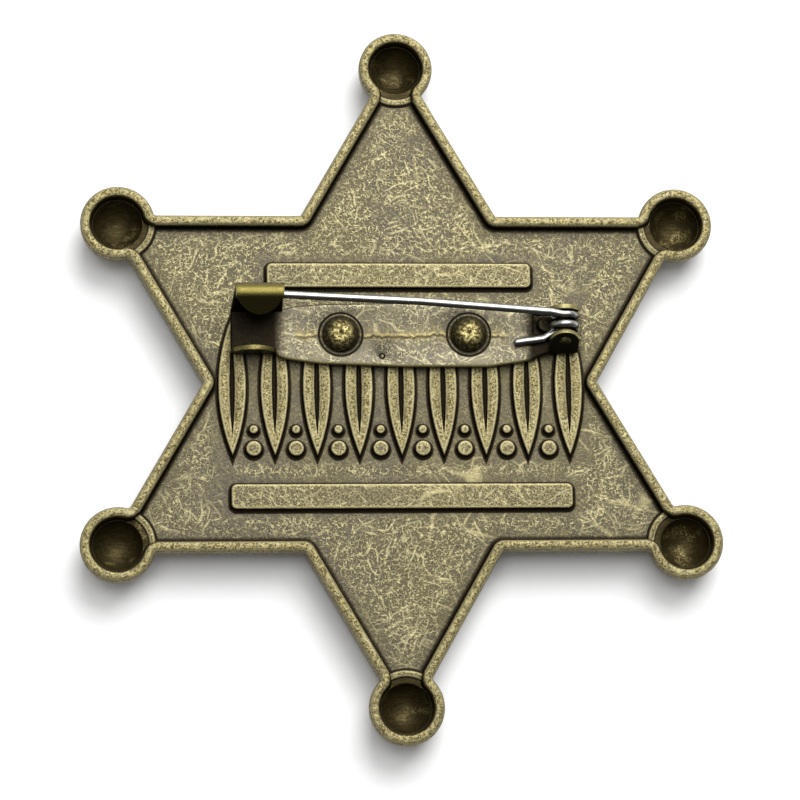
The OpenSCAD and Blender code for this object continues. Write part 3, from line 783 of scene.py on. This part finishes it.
# Painted shade: the plate is black behind the hinge, under the strip's window, where the strip and the coil shade it
hinge_shade = times(
    between(at["X"], (13.0, 13.8), (18.6, 19.6)),
    between(at["Y"], (2.6, 3.6), (7.2, 8.2)),
    spread(at["Z"], (BACK_Z - 0.1) * MM, (BACK_Z - 0.02) * MM),
)
grime = largest(wear["Grime"], times(hinge_shade, 0.9))
base = paint(base, (hollow, bowl), (grime, (0.009, 0.0055, 0.0012)))
roughness = spread(marks["Mask"], 0.0, 1.0, 0.52, 0.36)
set_inputs(shader, {"Base Color": base, "Roughness": roughness, "Metallic": 0.7, "Specular IOR Level": 0.2})
set_inputs(shader, {"Normal": dent(math_node("ADD", wear["Speckle"], marks["Mask"]), 0.35, 0.03)})

for piece in (star_casting, relief_bars, rivet_bosses):
    piece.data.materials.append(cast_brass)
in_row = row_tree()
for piece, count in ((leaf_frieze, LEAF_COUNT), (pellet_frieze, LEAF_COUNT - 1)):
    bake_nodes(piece, in_row, {"Count": count, "Step": (LEAF_PITCH * MM, 0.0, 0.0), "Material": cast_brass})
bake_nodes(cup_arcs, ring_tree(), {"Count": 6, "Material": cast_brass})
for piece in (star_casting, relief_bars, rivet_bosses, leaf_frieze, pellet_frieze, cup_arcs):
    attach(piece, "badge")
    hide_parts("star_body")


# Pin strip: sheet metal, blanked and bent, with a hook catch at its left end and two ears for the hinge pin
# at its right end. It has the star's antique finish, thinner and smoother, with a bright lower cut edge.
SHEET_T = 0.5
STRIP_TOP_Z = STRIP_Z + SHEET_T
STRIP_X = 0.4
STRIP_HALF_LEN = 15.6
STRIP_HALF_W = 3.4
# Columns: share of the half length, and of the half width below and above the middle line
strip_stations = [
    (-1.00, 0.56, 0.72),
    (-0.86, 0.65, 0.78),
    (-0.75, 0.79, 0.88),
    (-0.57, 0.90, 0.95),
    (0.00, 1.00, 1.00),
    (0.56, 1.00, 0.93),
    (0.84, 0.78, 0.77),
    (0.95, 0.64, 0.72),
    (1.00, 0.56, 0.70),
]
CATCH_LEFT_X, CATCH_RIGHT_X = -17.75, -12.35
LOW_SIDE_Y = 3.4
EAR_R = 1.55
EAR_LEAN = math.radians(27)
EAR_FOOT_LOW_Y, EAR_FOOT_HIGH_Y = 3.0, 7.51
# Window under the coil: left, right, lower and upper edge
WINDOW = (14.0, 17.9, 5.01, 7.01)
HINGE_X, HINGE_Z = 17.0, 6.88


def offset_loop(points, inset):
    """A loop moved inwards by the inset, for a loop that runs anticlockwise."""
    moved = []
    for before, here, after in zip(points[-1:] + points[:-1], points, points[1:] + points[:1]):
        a = Vector((here[0] - before[0], here[1] - before[1])).normalized()
        b = Vector((after[0] - here[0], after[1] - here[1])).normalized()
        na, nb = Vector((-a.y, a.x)), Vector((-b.y, b.x))
        out = (na + nb) / max(0.3, 1 + na.dot(nb))
        moved.append((here[0] + out.x * inset, here[1] + out.y * inset))
    return moved


def eased(points, r, steps=5):
    """A loop with each corner rounded by about r."""
    loop = []
    for before, here, after in zip(points[-1:] + points[:-1], points, points[1:] + points[:1]):
        before, here, after = Vector(before), Vector(here), Vector(after)
        cut = min(r, 0.45 * (before - here).length, 0.45 * (after - here).length)
        start, end = here + (before - here).normalized() * cut, here + (after - here).normalized() * cut
        for k in range(steps + 1):
            t = k / steps
            loop.append(tuple(start * (1 - t) ** 2 + here * 2 * t * (1 - t) + end * t * t))
    return loop


# Outline of the blank between the catch and the ears, from the catch's short side around to its tall one
along = lambda s: STRIP_X + s * STRIP_HALF_LEN
below = [(along(s), STRIP_Y - low * STRIP_HALF_W) for s, low, high in strip_stations]
above = [(along(s), STRIP_Y + high * STRIP_HALF_W) for s, low, high in strip_stations]
strip_loop = (
    [(CATCH_LEFT_X, LOW_SIDE_Y - SHEET_T), (CATCH_LEFT_X + 4.7, LOW_SIDE_Y - SHEET_T), (-12.9, 2.55)]
    + below[2:6]
    + [(13.6, 2.17), (HINGE_X - EAR_R, EAR_FOOT_LOW_Y), (HINGE_X + EAR_R, EAR_FOOT_LOW_Y)]
    + [(HINGE_X + EAR_R, EAR_FOOT_HIGH_Y), (HINGE_X - EAR_R, EAR_FOOT_HIGH_Y)]
    + list(reversed(above[2:7]))
    + [(CATCH_RIGHT_X, 7.55), (CATCH_LEFT_X, 7.55)]
)
strip_loop = eased(strip_loop, 0.5)
window_loop = eased([(WINDOW[i], WINDOW[j]) for i, j in ((0, 2), (1, 2), (1, 3), (0, 3))], 0.15)
# Columns: inset, height, how worn
strip_profile = [
    (0.07, STRIP_Z, 0.3),
    (0.00, STRIP_Z + 0.07, 0.6),
    (0.00, STRIP_TOP_Z - 0.16, 1.0),
    (0.03, STRIP_TOP_Z - 0.08, 1.0),
    (0.09, STRIP_TOP_Z - 0.03, 1.0),
    (0.16, STRIP_TOP_Z - 0.005, 0.4),
    (0.26, STRIP_TOP_Z, 0.0),
]
bm = start_mesh()
edge = [add_ring(bm, offset_loop(strip_loop, i), z, worn) for i, z, worn in strip_profile]
# Only the cut edge towards the badge's bottom is bright; the upper cut edge is darker below its top and has no wear
for ring in edge:
    for v in ring:
        if v.co.y > STRIP_Y * MM:
            set_marks(bm, v, worn=0.0, grime=0.5 if v.co.z < (STRIP_TOP_Z - 0.02) * MM else 0.0)
skin(bm, edge)
window = [add_ring(bm, offset_loop(window_loop, -i), z, worn) for i, z, worn in strip_profile]
skin(bm, window)
# A ring pressed around each rivet, and a small round dimple left of the middle, below the middle line
groove_profile = [
    (2.44, 0.0, 0.0, 0.0),
    (2.38, -0.02, 0.3, 0.4),
    (2.32, -0.08, 0.0, 1.0),
    (2.22, -0.08, 0.0, 0.9),
    (2.16, -0.02, 0.4, 0.3),
    (2.10, 0.0, 0.3, 0.3),
    (2.02, 0.0, 0.0, 0.9),
]
dimple_profile = [(0.36, 0.0, 0.0, 0.0), (0.30, -0.04, 0.0, 1.0), (0.22, -0.06, 0.0, 1.0), (0.15, -0.02, 0.4, 0.3)]
DIMPLE_AT = (-2.0, 2.6)
pressed = [turned(bm, (x, STRIP_Y), groove_profile, STRIP_TOP_Z) for x in RIVET_XS]
pressed.append(turned(bm, DIMPLE_AT, dimple_profile, STRIP_TOP_Z, 20))
for loops in pressed:
    skin(bm, loops)
    fill(bm, loops[-1:])
fill(bm, [edge[-1], window[-1]] + [loops[0] for loops in pressed])
fill(bm, [edge[0], window[0]])


def bent_sheet(bm, path, sides, marks, edge_r=0.12, columns=14):
    """Sheet metal along a path of (y, z) points in millimetres. sides gives the left and right edge at each point,
    marks how bright with wear and painted highlight, how dark with patina and painted shade and how bare the face on
    the path's left, the face on its right and the edges are."""
    sections = []
    flat_h = SHEET_T / 2 - edge_r
    for k, (y, z) in enumerate(path):
        a, b = path[max(k - 1, 0)], path[min(k + 1, len(path) - 1)]
        d = Vector((b[0] - a[0], b[1] - a[1])).normalized()
        left, right = sides[k]
        r = min(edge_r, (right - left) / 2.2)
        across = [left + r + (right - left - 2 * r) * j / columns for j in range(columns + 1)]
        face, back, rubbed = marks[k]
        rounding = lambda x, h, turns: [
            (x + r * math.cos(math.radians(a)), h + edge_r * math.sin(math.radians(a)), rubbed) for a in turns
        ]
        outline = [(x, SHEET_T / 2, face) for x in across]
        outline += rounding(right - r, flat_h, (60, 30, 0)) + rounding(right - r, -flat_h, (0, -30, -60))
        outline += [(x, -SHEET_T / 2, back) for x in reversed(across)]
        outline += rounding(left + r, -flat_h, (-120, -150, -180)) + rounding(left + r, flat_h, (180, 150, 120))
        section = []
        for x, h, (worn, grime, bare) in outline:
            section.append(bm.verts.new((x * MM, (y - d.y * h) * MM, (z + d.x * h) * MM)))
            set_marks(bm, section[-1], worn=worn, grime=grime, hollow=bare)
        sections.append(section)
    close_bar(bm, sections)


def arc_path(centre, r, start_deg, end_deg, steps):
    return [
        (centre[0] + r * math.cos(math.radians(a)), centre[1] + r * math.sin(math.radians(a)))
        for a in (start_deg + (end_deg - start_deg) * k / steps for k in range(steps + 1))
    ]


def straight(a, b, steps):
    return [(a[0] + (b[0] - a[0]) * k / steps, a[1] + (b[1] - a[1]) * k / steps) for k in range(steps + 1)]


# The catch's tall side leans out from its foot, bends over in a hook and ends in a flap with a round end
HOOK_Y, HOOK_Z = 8.35, 9.25
HOOK_INNER_R = 0.61
HOOK_R = HOOK_INNER_R + SHEET_T / 2
TALL_FOOT_Y = 7.3
TALL_LEN = 4.2
FLAP_SLOPE = 40
FLAP_LEN = 1.9
TALL_STEPS, BEND_STEPS, FLAP_STEPS = 12, 26, 16
foot_to_hook = (HOOK_Y - TALL_FOOT_Y, HOOK_Z - STRIP_TOP_Z)
lean = math.atan2(*foot_to_hook) + math.asin(HOOK_INNER_R / math.hypot(*foot_to_hook))
bend = arc_path((HOOK_Y, HOOK_Z), HOOK_R, -math.degrees(lean), 90 + FLAP_SLOPE, BEND_STEPS)
foot = (bend[0][0] - TALL_LEN * math.sin(lean), bend[0][1] - TALL_LEN * math.cos(lean))
slope = math.radians(FLAP_SLOPE)
flap_end = (bend[-1][0] - FLAP_LEN * math.cos(slope), bend[-1][1] - FLAP_LEN * math.sin(slope))
flap = []
for k in range(1, FLAP_STEPS + 1):
    share = math.sin(math.pi / 2 * k / FLAP_STEPS)
    flap.append(tuple(bend[-1][i] + (flap_end[i] - bend[-1][i]) * share for i in (0, 1)))
path = straight(foot, bend[0], TALL_STEPS)[:-1] + bend + flap
CATCH_X = -14.85
ROUND_R = 2.5
LEFT_TAPER = 0.4
round_y = flap_end[0] + ROUND_R
sides = []
for k, (y, z) in enumerate(path):
    share = (z - foot[1]) / (bend[0][1] - foot[1]) if k < TALL_STEPS else 1.0
    left = CATCH_LEFT_X + LEFT_TAPER * max(0.0, min(1.0, share))
    right = CATCH_RIGHT_X
    if y < round_y and k > TALL_STEPS + BEND_STEPS:
        half = math.sqrt(max(ROUND_R ** 2 - (round_y - y) ** 2, 0.02))
        left, right = max(left, CATCH_X - half), min(right, CATCH_X + half)
    sides.append((left, right))
# Painted shade makes the inside black and the flap, which faces away from the light, dark again; a painted highlight
# makes the crest of the hook bright. All are counted in points of the path
CREST_START, CREST_END = 24, 36
BARE_FROM, DARK_FROM, FADE = 20, 32, 5
marks = []
for k in range(len(path)):
    grime = 0.2 if k < CREST_START else max(0.0, min(0.84, (k - DARK_FROM) / FADE))
    bare = min(1.0, max(0.0, (k - BARE_FROM) / FADE))
    edges = (1.0, 0.0, 0.0) if CREST_START < k < CREST_END else (0.1, 0.8, 0.0)
    marks.append(((0.0, 0.97, 0.0), (0.0, grime, bare), edges))
bent_sheet(bm, path, sides, marks)
# Short side of the catch, with an arched top
LOW_SIDE_X, LOW_SIDE_W, LOW_SIDE_H = -15.4, 4.7, 1.9
arch_r = ((LOW_SIDE_W / 2) ** 2 + LOW_SIDE_H ** 2) / (2 * LOW_SIDE_H)
y = LOW_SIDE_Y - SHEET_T / 2
LOW_BEND_R, LOW_BEND_STEPS = 0.3, 6
path = arc_path((y + LOW_BEND_R, STRIP_Z + SHEET_T / 2 + LOW_BEND_R), LOW_BEND_R, 270, 180, LOW_BEND_STEPS)
heights = [LOW_SIDE_H * math.sin(math.pi / 2 * (k + 0.5) / 12) for k in range(1, 12)] + [LOW_SIDE_H]
path += [(y, STRIP_TOP_Z + h) for h in heights if STRIP_TOP_Z + h > path[-1][1] + 0.05]
sides = []
for py, pz in path:
    h = max(pz - STRIP_TOP_Z, 0.0)
    half = math.sqrt(max(arch_r ** 2 - (h - (LOW_SIDE_H - arch_r)) ** 2, 0.0001))
    sides.append((LOW_SIDE_X - min(half, LOW_SIDE_W / 2), LOW_SIDE_X + min(half, LOW_SIDE_W / 2)))
# Painted shade darkens both faces of the short side, which face away from the light; its arched top edge is bright
# with wear and painted highlight
marks = [
    ((0.0, 0.9, 0.0), (0.0, 0.97, 0.0), (0.0, 0.8, 0.0) if k <= LOW_BEND_STEPS else (0.4, 0.25, 1.0))
    for k in range(len(path))
]
bent_sheet(bm, path, sides, marks)
# Ears with round tops: the upper one is upright, the lower one leans over the coil
EAR_STEPS = 24
EAR_INNER_LOW_Y, EAR_INNER_HIGH_Y = 3.56, 7.01
ear_rise = HINGE_Z - STRIP_TOP_Z
low_foot_y = EAR_INNER_LOW_Y - SHEET_T / 2 / math.cos(EAR_LEAN)
for foot_y, ear_lean in ((EAR_INNER_HIGH_Y + SHEET_T / 2, 0.0), (low_foot_y, EAR_LEAN)):
    path, sides, marks = [], [], []
    for k in range(EAR_STEPS + 1):
        up = -SHEET_T / 2 + (ear_rise + EAR_R + SHEET_T / 2) * math.sin(math.pi / 2 * k / EAR_STEPS)
        path.append((foot_y + up * math.sin(ear_lean), STRIP_TOP_Z + up * math.cos(ear_lean)))
        half = math.sqrt(max(EAR_R ** 2 - max(up - ear_rise, 0.0) ** 2, 0.01))
        sides.append((HINGE_X - half, HINGE_X + half))
        # Painted shade darkens both faces and the lower half of the edges; the edges of the round top are bright with
        # wear and painted highlight
        marks.append(((0.0, 0.95, 0.0), (0.0, 0.95, 0.0), (0.0, 0.7, 0.0) if 2 * k < EAR_STEPS else (1.0, 0.0, 0.8)))
    bent_sheet(bm, path, sides, marks)
pin_sheet = finish_mesh(bm, "pin_sheet", 42.0)

sheet_brass, tree, shader, place = start_material("sheet_brass")
marks = group_node(tree, curl_marks, Vector=place, Scale=1250.0, Width=0.10, Patch_Scale=170.0, Cover=0.60)
scored = group_node(tree, scratches, Vector=place, Scale=2400.0, Patch_Scale=300.0)
wear = wear_node(tree, place, 5000.0, openness(tree, 0.8))
at = add_node(tree, "ShaderNodeSeparateXYZ", {0: place}).outputs
flat = between(at["Z"], (STRIP_TOP_Z - 0.03, STRIP_TOP_Z - 0.01), (STRIP_TOP_Z + 0.02, STRIP_TOP_Z + 0.1))
clouds = spread(noise_node(place, 220.0, 4.0, 0.6), 0.35, 0.65)
# Crease that wanders along the middle of the strip, drawn in colour: a golden painted highlight along it, a dark line
# of painted shade under it and golden scratches beside it
run = add_node(tree, "ShaderNodeCombineXYZ", {"X": at["X"]}).outputs["Vector"]
wander = noise_node(run, 420.0, 3.0, 0.6)
wander = spread(wander, 0.25, 0.75, -0.45 * MM, 0.45 * MM, smooth=False)
off = math_node("SUBTRACT", math_node("SUBTRACT", at["Y"], STRIP_Y * MM), wander)
away = math_node("ABSOLUTE", off)
span = times(between(at["X"], (-11.4, -10.6), (10.6, 11.6)), flat)
near = spread(away, 0.0, 1.3 * MM, 1.0, 0.0)
broken = spread(noise_node(place, 1900.0, 3.0, 0.7), 0.42, 0.60)
under = math_node("ABSOLUTE", math_node("ADD", off, 0.24 * MM))
under = spread(under, 0.06 * MM, 0.24 * MM, 1.0, 0.0)
line = times(spread(away, 0.05 * MM, 0.20 * MM, 1.0, 0.0), spread(broken, 0.0, 1.0, 0.35, 1.0))
# Painted shade: black inside the catch and under the coil, where the hook and the coil shade the strip
low_down = spread(at["Z"], 5.6 * MM, 6.4 * MM, 1.0, 0.0)
catch_shade = times(spread(at["X"], -13.4 * MM, -11.6 * MM, 1.0, 0.0), low_down)
low_down = spread(at["Z"], 5.4 * MM, 6.0 * MM, 1.0, 0.0)
coil_shade = times(spread(at["X"], 12.4 * MM, 13.9 * MM), low_down)
base = paint(
    mix_colour(clouds, (0.104, 0.092, 0.070), (0.142, 0.126, 0.085)),
    (times(wear["Speckle"], 0.3), (0.15, 0.135, 0.09)),
    (times(marks["Border"], flat), (0.038, 0.033, 0.022)),
    (times(marks["Mask"], flat, 0.75), (0.39, 0.35, 0.21)),
    (times(scored["Mask"], flat, 0.7), (0.39, 0.35, 0.21)),
    (times(near, broken, span, 0.6), (0.24, 0.19, 0.075)),
    (times(under, span, 0.75), (0.035, 0.026, 0.010)),
    (times(line, span), (0.34, 0.28, 0.12)),
    (mesh_mark(tree, "hollow"), (0.165, 0.138, 0.036)),
    (wear["Worn"], (0.36, 0.315, 0.14)),
    (largest(times(largest(catch_shade, coil_shade), 0.985), wear["Grime"]), (0.006, 0.0038, 0.0012)),
)
roughness = spread(marks["Mask"], 0.0, 1.0, 0.46, 0.36)
set_inputs(shader, {"Base Color": base, "Roughness": roughness, "Metallic": 0.85, "Specular IOR Level": 0.2})
set_inputs(shader, {"Normal": dent(math_node("ADD", wear["Speckle"], times(marks["Mask"], flat)), 0.3, 0.02)})
pin_sheet.data.materials.append(sheet_brass)
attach(pin_sheet, "badge")
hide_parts("pin_strip")


# Rivets: two brass rivets through the strip, with a domed head and a flat, hammered cap.
rivet_brass, tree, shader, place = start_material("rivet_brass")
wear = wear_node(tree, place, 2600.0, openness(tree, 0.8))
hammered = mix_colour(spread(wear["Speckle"], 0.30, 0.62), (0.085, 0.064, 0.020), (0.36, 0.31, 0.13))
base = paint(hammered, (wear["Grime"], (0.020, 0.015, 0.006)))
hammer_marks = dent(wear["Speckle"], 0.6, 0.05)
set_inputs(shader, {"Base Color": base, "Roughness": 0.38, "Metallic": 0.85, "Normal": hammer_marks})
RIVET_BASE_Z = 5.32
# Columns: radius, height above the strip, how dark, from the pit in the cap's middle to the end of the shank
rivet_profile = [
    (0.05, 1.22, 0.9),
    (0.12, 1.24, 0.8),
    (0.18, 1.29, 0.0),
    (0.45, 1.30, 0.0),
    (0.75, 1.29, 0.0),
    (1.00, 1.23, 0.0),
    (1.20, 1.12, 0.0),
    (1.34, 0.98, 0.2),
    (1.44, 0.84, 0.6),
    (1.60, 0.62, 0.7),
    (1.76, 0.36, 0.7),
    (1.86, 0.16, 0.85),
    (1.88, 0.04, 0.9),
    (1.84, 0.00, 1.0),
    (0.90, 0.00, 1.0),
    (0.90, -1.42, 0.5),
]
bm = start_mesh()
for x in RIVET_XS:
    head_profile = [(r, z, 1.0 - dark, dark) for r, z, dark in rivet_profile]
    close_solid(bm, turned(bm, (x, STRIP_Y), head_profile, RIVET_BASE_Z, 48))
rivets = finish_mesh(bm, "rivets")
rivets.data.materials.append(rivet_brass)
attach(rivets, "badge")
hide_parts("rivet_left", "rivet_right")


# Hinge pin: a short brass pin through both ears, with rounded ends.
PIN_R = 0.67
low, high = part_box("hinge_pin")
pin_low_y, pin_high_y = low.y / MM, high.y / MM
bm = start_mesh()
pin = [
    [bm.verts.new(((HINGE_X + x) * MM, y * MM, (HINGE_Z + z) * MM)) for x, z in circle((0, 0), PIN_R - inset, 40)]
    for y, inset in (
        (pin_low_y, 0.14), (pin_low_y + 0.04, 0.05), (pin_low_y + 0.12, 0.0),
        (pin_high_y - 0.12, 0.0), (pin_high_y - 0.04, 0.05), (pin_high_y, 0.14),
    )
]
close_bar(bm, pin)
# Painted shade: the whole pin is dark, as it lies in the shade between the ears
for v in bm.verts:
    set_marks(bm, v, grime=0.85)
hinge_pin = finish_mesh(bm, "hinge_rod")
hinge_pin.data.materials.append(rivet_brass)
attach(hinge_pin, "badge")
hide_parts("hinge_pin")


# Spring wire: bright nickel-plated spring steel, wound around the hinge pin. Here it is two pieces, the needle
# with its turn of the coil, which swings, and the other turn with the tail that presses on the strip.
WIRE_R = 0.41
COIL_R = 1.15
NEEDLE_TURN_Y = 6.52
SPRING_TURN_Y = 5.5
turn_open = math.asin((COIL_R - 2.15 * WIRE_R) / COIL_R)


def coil_points(y, start, end, steps=48):
    return [
        Vector((HINGE_X + COIL_R * math.cos(a), y, HINGE_Z + COIL_R * math.sin(a)))
        for a in (start + (end - start) * k / steps for k in range(steps + 1))
    ]


def bent_points(points, bend_r, spacing=0.6):
    """Points along straight runs with a round bend of this radius at each inner point."""
    points = [Vector(p) for p in points]
    path = [points[0]]
    for before, here, after in zip(points, points[1:], points[2:]):
        a, b = (here - before).normalized(), (after - here).normalized()
        turn = a.angle(b)
        taken = bend_r * math.tan(turn / 2)
        start = here - a * taken
        centre = start + (b - a * a.dot(b)).normalized() * bend_r
        count = max(1, round((start - path[-1]).length / spacing))
        first = path[-1]
        path += [first.lerp(start, k / count) for k in range(1, count)]
        steps = max(2, round(turn * bend_r / 0.12))
        axis = a.cross(b).normalized()
        path += [centre + Matrix.Rotation(turn * k / steps, 3, axis) @ (start - centre) for k in range(steps + 1)]
    count = max(1, round((points[-1] - path[-1]).length / spacing))
    first = path[-1]
    return path + [first.lerp(points[-1], k / count) for k in range(1, count + 1)]


def wire_tree():
    """Geometry nodes that sweep a round wire along the path, as thick as the path's own attribute says."""
    tree, given, out = piece_tree("wire_along_path", ("Wire Radius", "Float"), ("Sides", "Int"))
    share = add_node(tree, "GeometryNodeInputNamedAttribute", {"Name": "share_of_radius"}, data_type="FLOAT")
    share = share.outputs["Attribute"]
    curve = add_node(tree, "GeometryNodeMeshToCurve", {"Mesh": given["Geometry"]}).outputs["Curve"]
    curve = add_node(tree, "GeometryNodeSetCurveRadius", {"Curve": curve, "Radius": share}).outputs["Curve"]
    size = {"Radius": given["Wire Radius"], "Resolution": given["Sides"]}
    round_wire = add_node(tree, "GeometryNodeCurvePrimitiveCircle", size).outputs["Curve"]
    swept = {"Curve": curve, "Profile Curve": round_wire, "Fill Caps": True}
    sweep = add_node(tree, "GeometryNodeCurveToMesh", swept)
    if "Scale" in sweep.inputs:
        tree.links.new(share, sweep.inputs["Scale"])
    smooth = add_node(tree, "GeometryNodeSetShadeSmooth", {"Geometry": sweep.outputs["Mesh"]})
    return end_tree(tree, given, out, smooth.outputs["Geometry"])


def path_object(name, path, shares):
    """A chain of edges along the path, in millimetres, with each point's share of the wire's radius."""
    mesh = bpy.data.meshes.new(name)
    mesh.from_pydata([tuple(p * MM) for p in path], [(k, k + 1) for k in range(len(path) - 1)], [])
    mesh.attributes.new("share_of_radius", "FLOAT", "POINT").data.foreach_set("value", shares)
    return new_object(name, mesh)


def rounded_start(path, shares):
    """Puts a rounded, cut end on the first point of the wire."""
    away = (path[0] - path[1]).normalized()
    end = [path[0] + away * WIRE_R * out for out in (0.24, 0.21, 0.12)]
    return end + path, [0.35, 0.7, 0.92] + shares


bright_wire, tree, shader, place = start_material("bright_wire")
smear = spread(noise_node(place, 500.0, 3.0, 0.6), 0.3, 0.7)
base = mix_colour(smear, (0.46, 0.46, 0.43), (0.56, 0.56, 0.53))
# Painted shade: a grey band darkens the side towards the badge's bottom and, thinner, the upper edge, so that the wire
# is bright only along its top
normal = add_node(tree, "ShaderNodeTexCoord").outputs["Normal"]
facing = add_node(tree, "ShaderNodeSeparateXYZ", {0: normal}).outputs["Y"]
wire_shade = largest(spread(facing, -0.62, -0.05, 1.0, 0.0), spread(facing, 0.55, 0.92, 0.0, 0.85))
base = paint(base, (times(wire_shade, 0.9), (0.040, 0.040, 0.033)))
roughness = spread(noise_node(place, 3200.0, 3.0, 0.6), 0.3, 0.7, 0.28, 0.34)
set_inputs(shader, {"Base Color": base, "Roughness": roughness, "Metallic": 1.0})
steel = wire_tree()

NEEDLE_POINTS = [
    (17.0, 6.52, 8.03),
    (16.6, 6.52, 8.03),
    (15.5, 6.74, 8.073),
    (1.9, 7.681, 8.600),
    (-12.4, 8.2522, 9.1553),
]
NEEDLE_TIP = (-16.6, 8.420, 9.318)
path = coil_points(NEEDLE_TURN_Y, -math.pi - turn_open, math.pi / 2)[:-1] + bent_points(NEEDLE_POINTS, 2.5)
shares = [1.0] * len(path)
POINT_STEPS = 12
start, tip = path[-1], Vector(NEEDLE_TIP)
for k in range(1, POINT_STEPS + 1):
    path.append(start.lerp(tip, k / POINT_STEPS))
    shares.append((1 - k / POINT_STEPS) * 0.95 + k / POINT_STEPS * 0.12)
path, shares = rounded_start(path, shares)
needle_wire = path_object("needle_wire", path, shares)
bake_nodes(needle_wire, steel, {"Wire Radius": WIRE_R * MM, "Sides": 32, "Material": bright_wire})
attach(needle_wire, "needle")
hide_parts("pin_needle")

TAIL_POINTS = [(17.0, 5.5, 5.73), (16.7, 5.5, 5.73), (14.95, 4.36, 5.73), (11.95, 3.97, 5.73)]
turn = coil_points(SPRING_TURN_Y, -math.pi / 2, math.pi + turn_open)
path = list(reversed(turn))[:-1] + bent_points(TAIL_POINTS, 0.8)
path, shares = rounded_start(path, [1.0] * len(path))
path, shares = rounded_start(list(reversed(path)), list(reversed(shares)))
spring_wire = path_object("spring_wire", path, shares)
bake_nodes(spring_wire, steel, {"Wire Radius": WIRE_R * MM, "Sides": 32, "Material": bright_wire})
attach(spring_wire, "badge")
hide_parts("coil_spring")


# Floor: a plain pale sheet of studio card under the badge.
card, tree, shader, place = start_material("studio_card")
pale = mix_colour(noise_node(place, 900.0, 2.0), (0.90, 0.90, 0.90), (0.93, 0.93, 0.93))
set_inputs(shader, {"Base Color": pale, "Roughness": 0.9})
bm = bmesh.new()
bmesh.ops.create_grid(bm, x_segments=2, y_segments=2, size=0.9)
mesh = bpy.data.meshes.new("studio_floor")
bm.to_mesh(mesh)
bm.free()
floor = new_object("studio_floor", mesh)
floor.data.materials.append(card)


# Light: one large soft box beyond the badge's top, a little to the right, a weaker one high above it, and a
# pale room around them. Both face the middle of the badge.
def soft_box(name, place, size, power):
    data = bpy.data.lights.new(name, "AREA")
    data.shape = "RECTANGLE"
    data.size, data.size_y = size
    data.energy = power
    lamp = new_object(name, data)
    lamp.location = place
    lamp.rotation_euler = (-Vector(place)).to_track_quat("-Z", "Y").to_euler()


soft_box("key_box", (0.12, 0.34, 0.46), (0.42, 0.32), 3.25)
soft_box("top_box", (-0.03, 0.11, 0.73), (0.50, 0.34), 2.2)
world = bpy.data.worlds.new("pale_room")
world.use_nodes = True
tree = world.node_tree
way = add_node(tree, "ShaderNodeTexCoord").outputs["Generated"]
way = add_node(tree, "ShaderNodeSeparateXYZ", {0: way}).outputs
tilt = math_node("ADD", times(way["Y"], 0.9), times(way["Z"], 0.45))
room = {"Strength": spread(tilt, -0.5, 0.8, 0.20, 0.45), "Color": (1.0, 1.0, 1.0, 1.0)}
set_inputs(tree.nodes["Background"], room)
bpy.context.scene.world = world
bpy.context.scene.view_settings.view_transform = "Standard"

# Camera: a long lens almost straight above the badge's back, a little towards its bottom and its left.
camera_data = bpy.data.cameras.new("camera")
camera_data.sensor_width = 36.0
camera_data.lens = 146.72
camera_data.clip_start = 0.01
camera_data.clip_end = 10.0
camera = new_object("camera", camera_data)
CAMERA_AT = (-0.0294907, -0.0693372, 0.3359511)
right = (0.996258531, -0.0181339075, 0.0844991202)
up = (0.000921997517, 0.979912981, 0.19942342)
back = (-0.0864181105, -0.198599375, 0.976263386)
camera.matrix_world = Matrix.Translation(CAMERA_AT) @ Matrix((right, up, back)).transposed().to_4x4()
bpy.context.scene.camera = camera
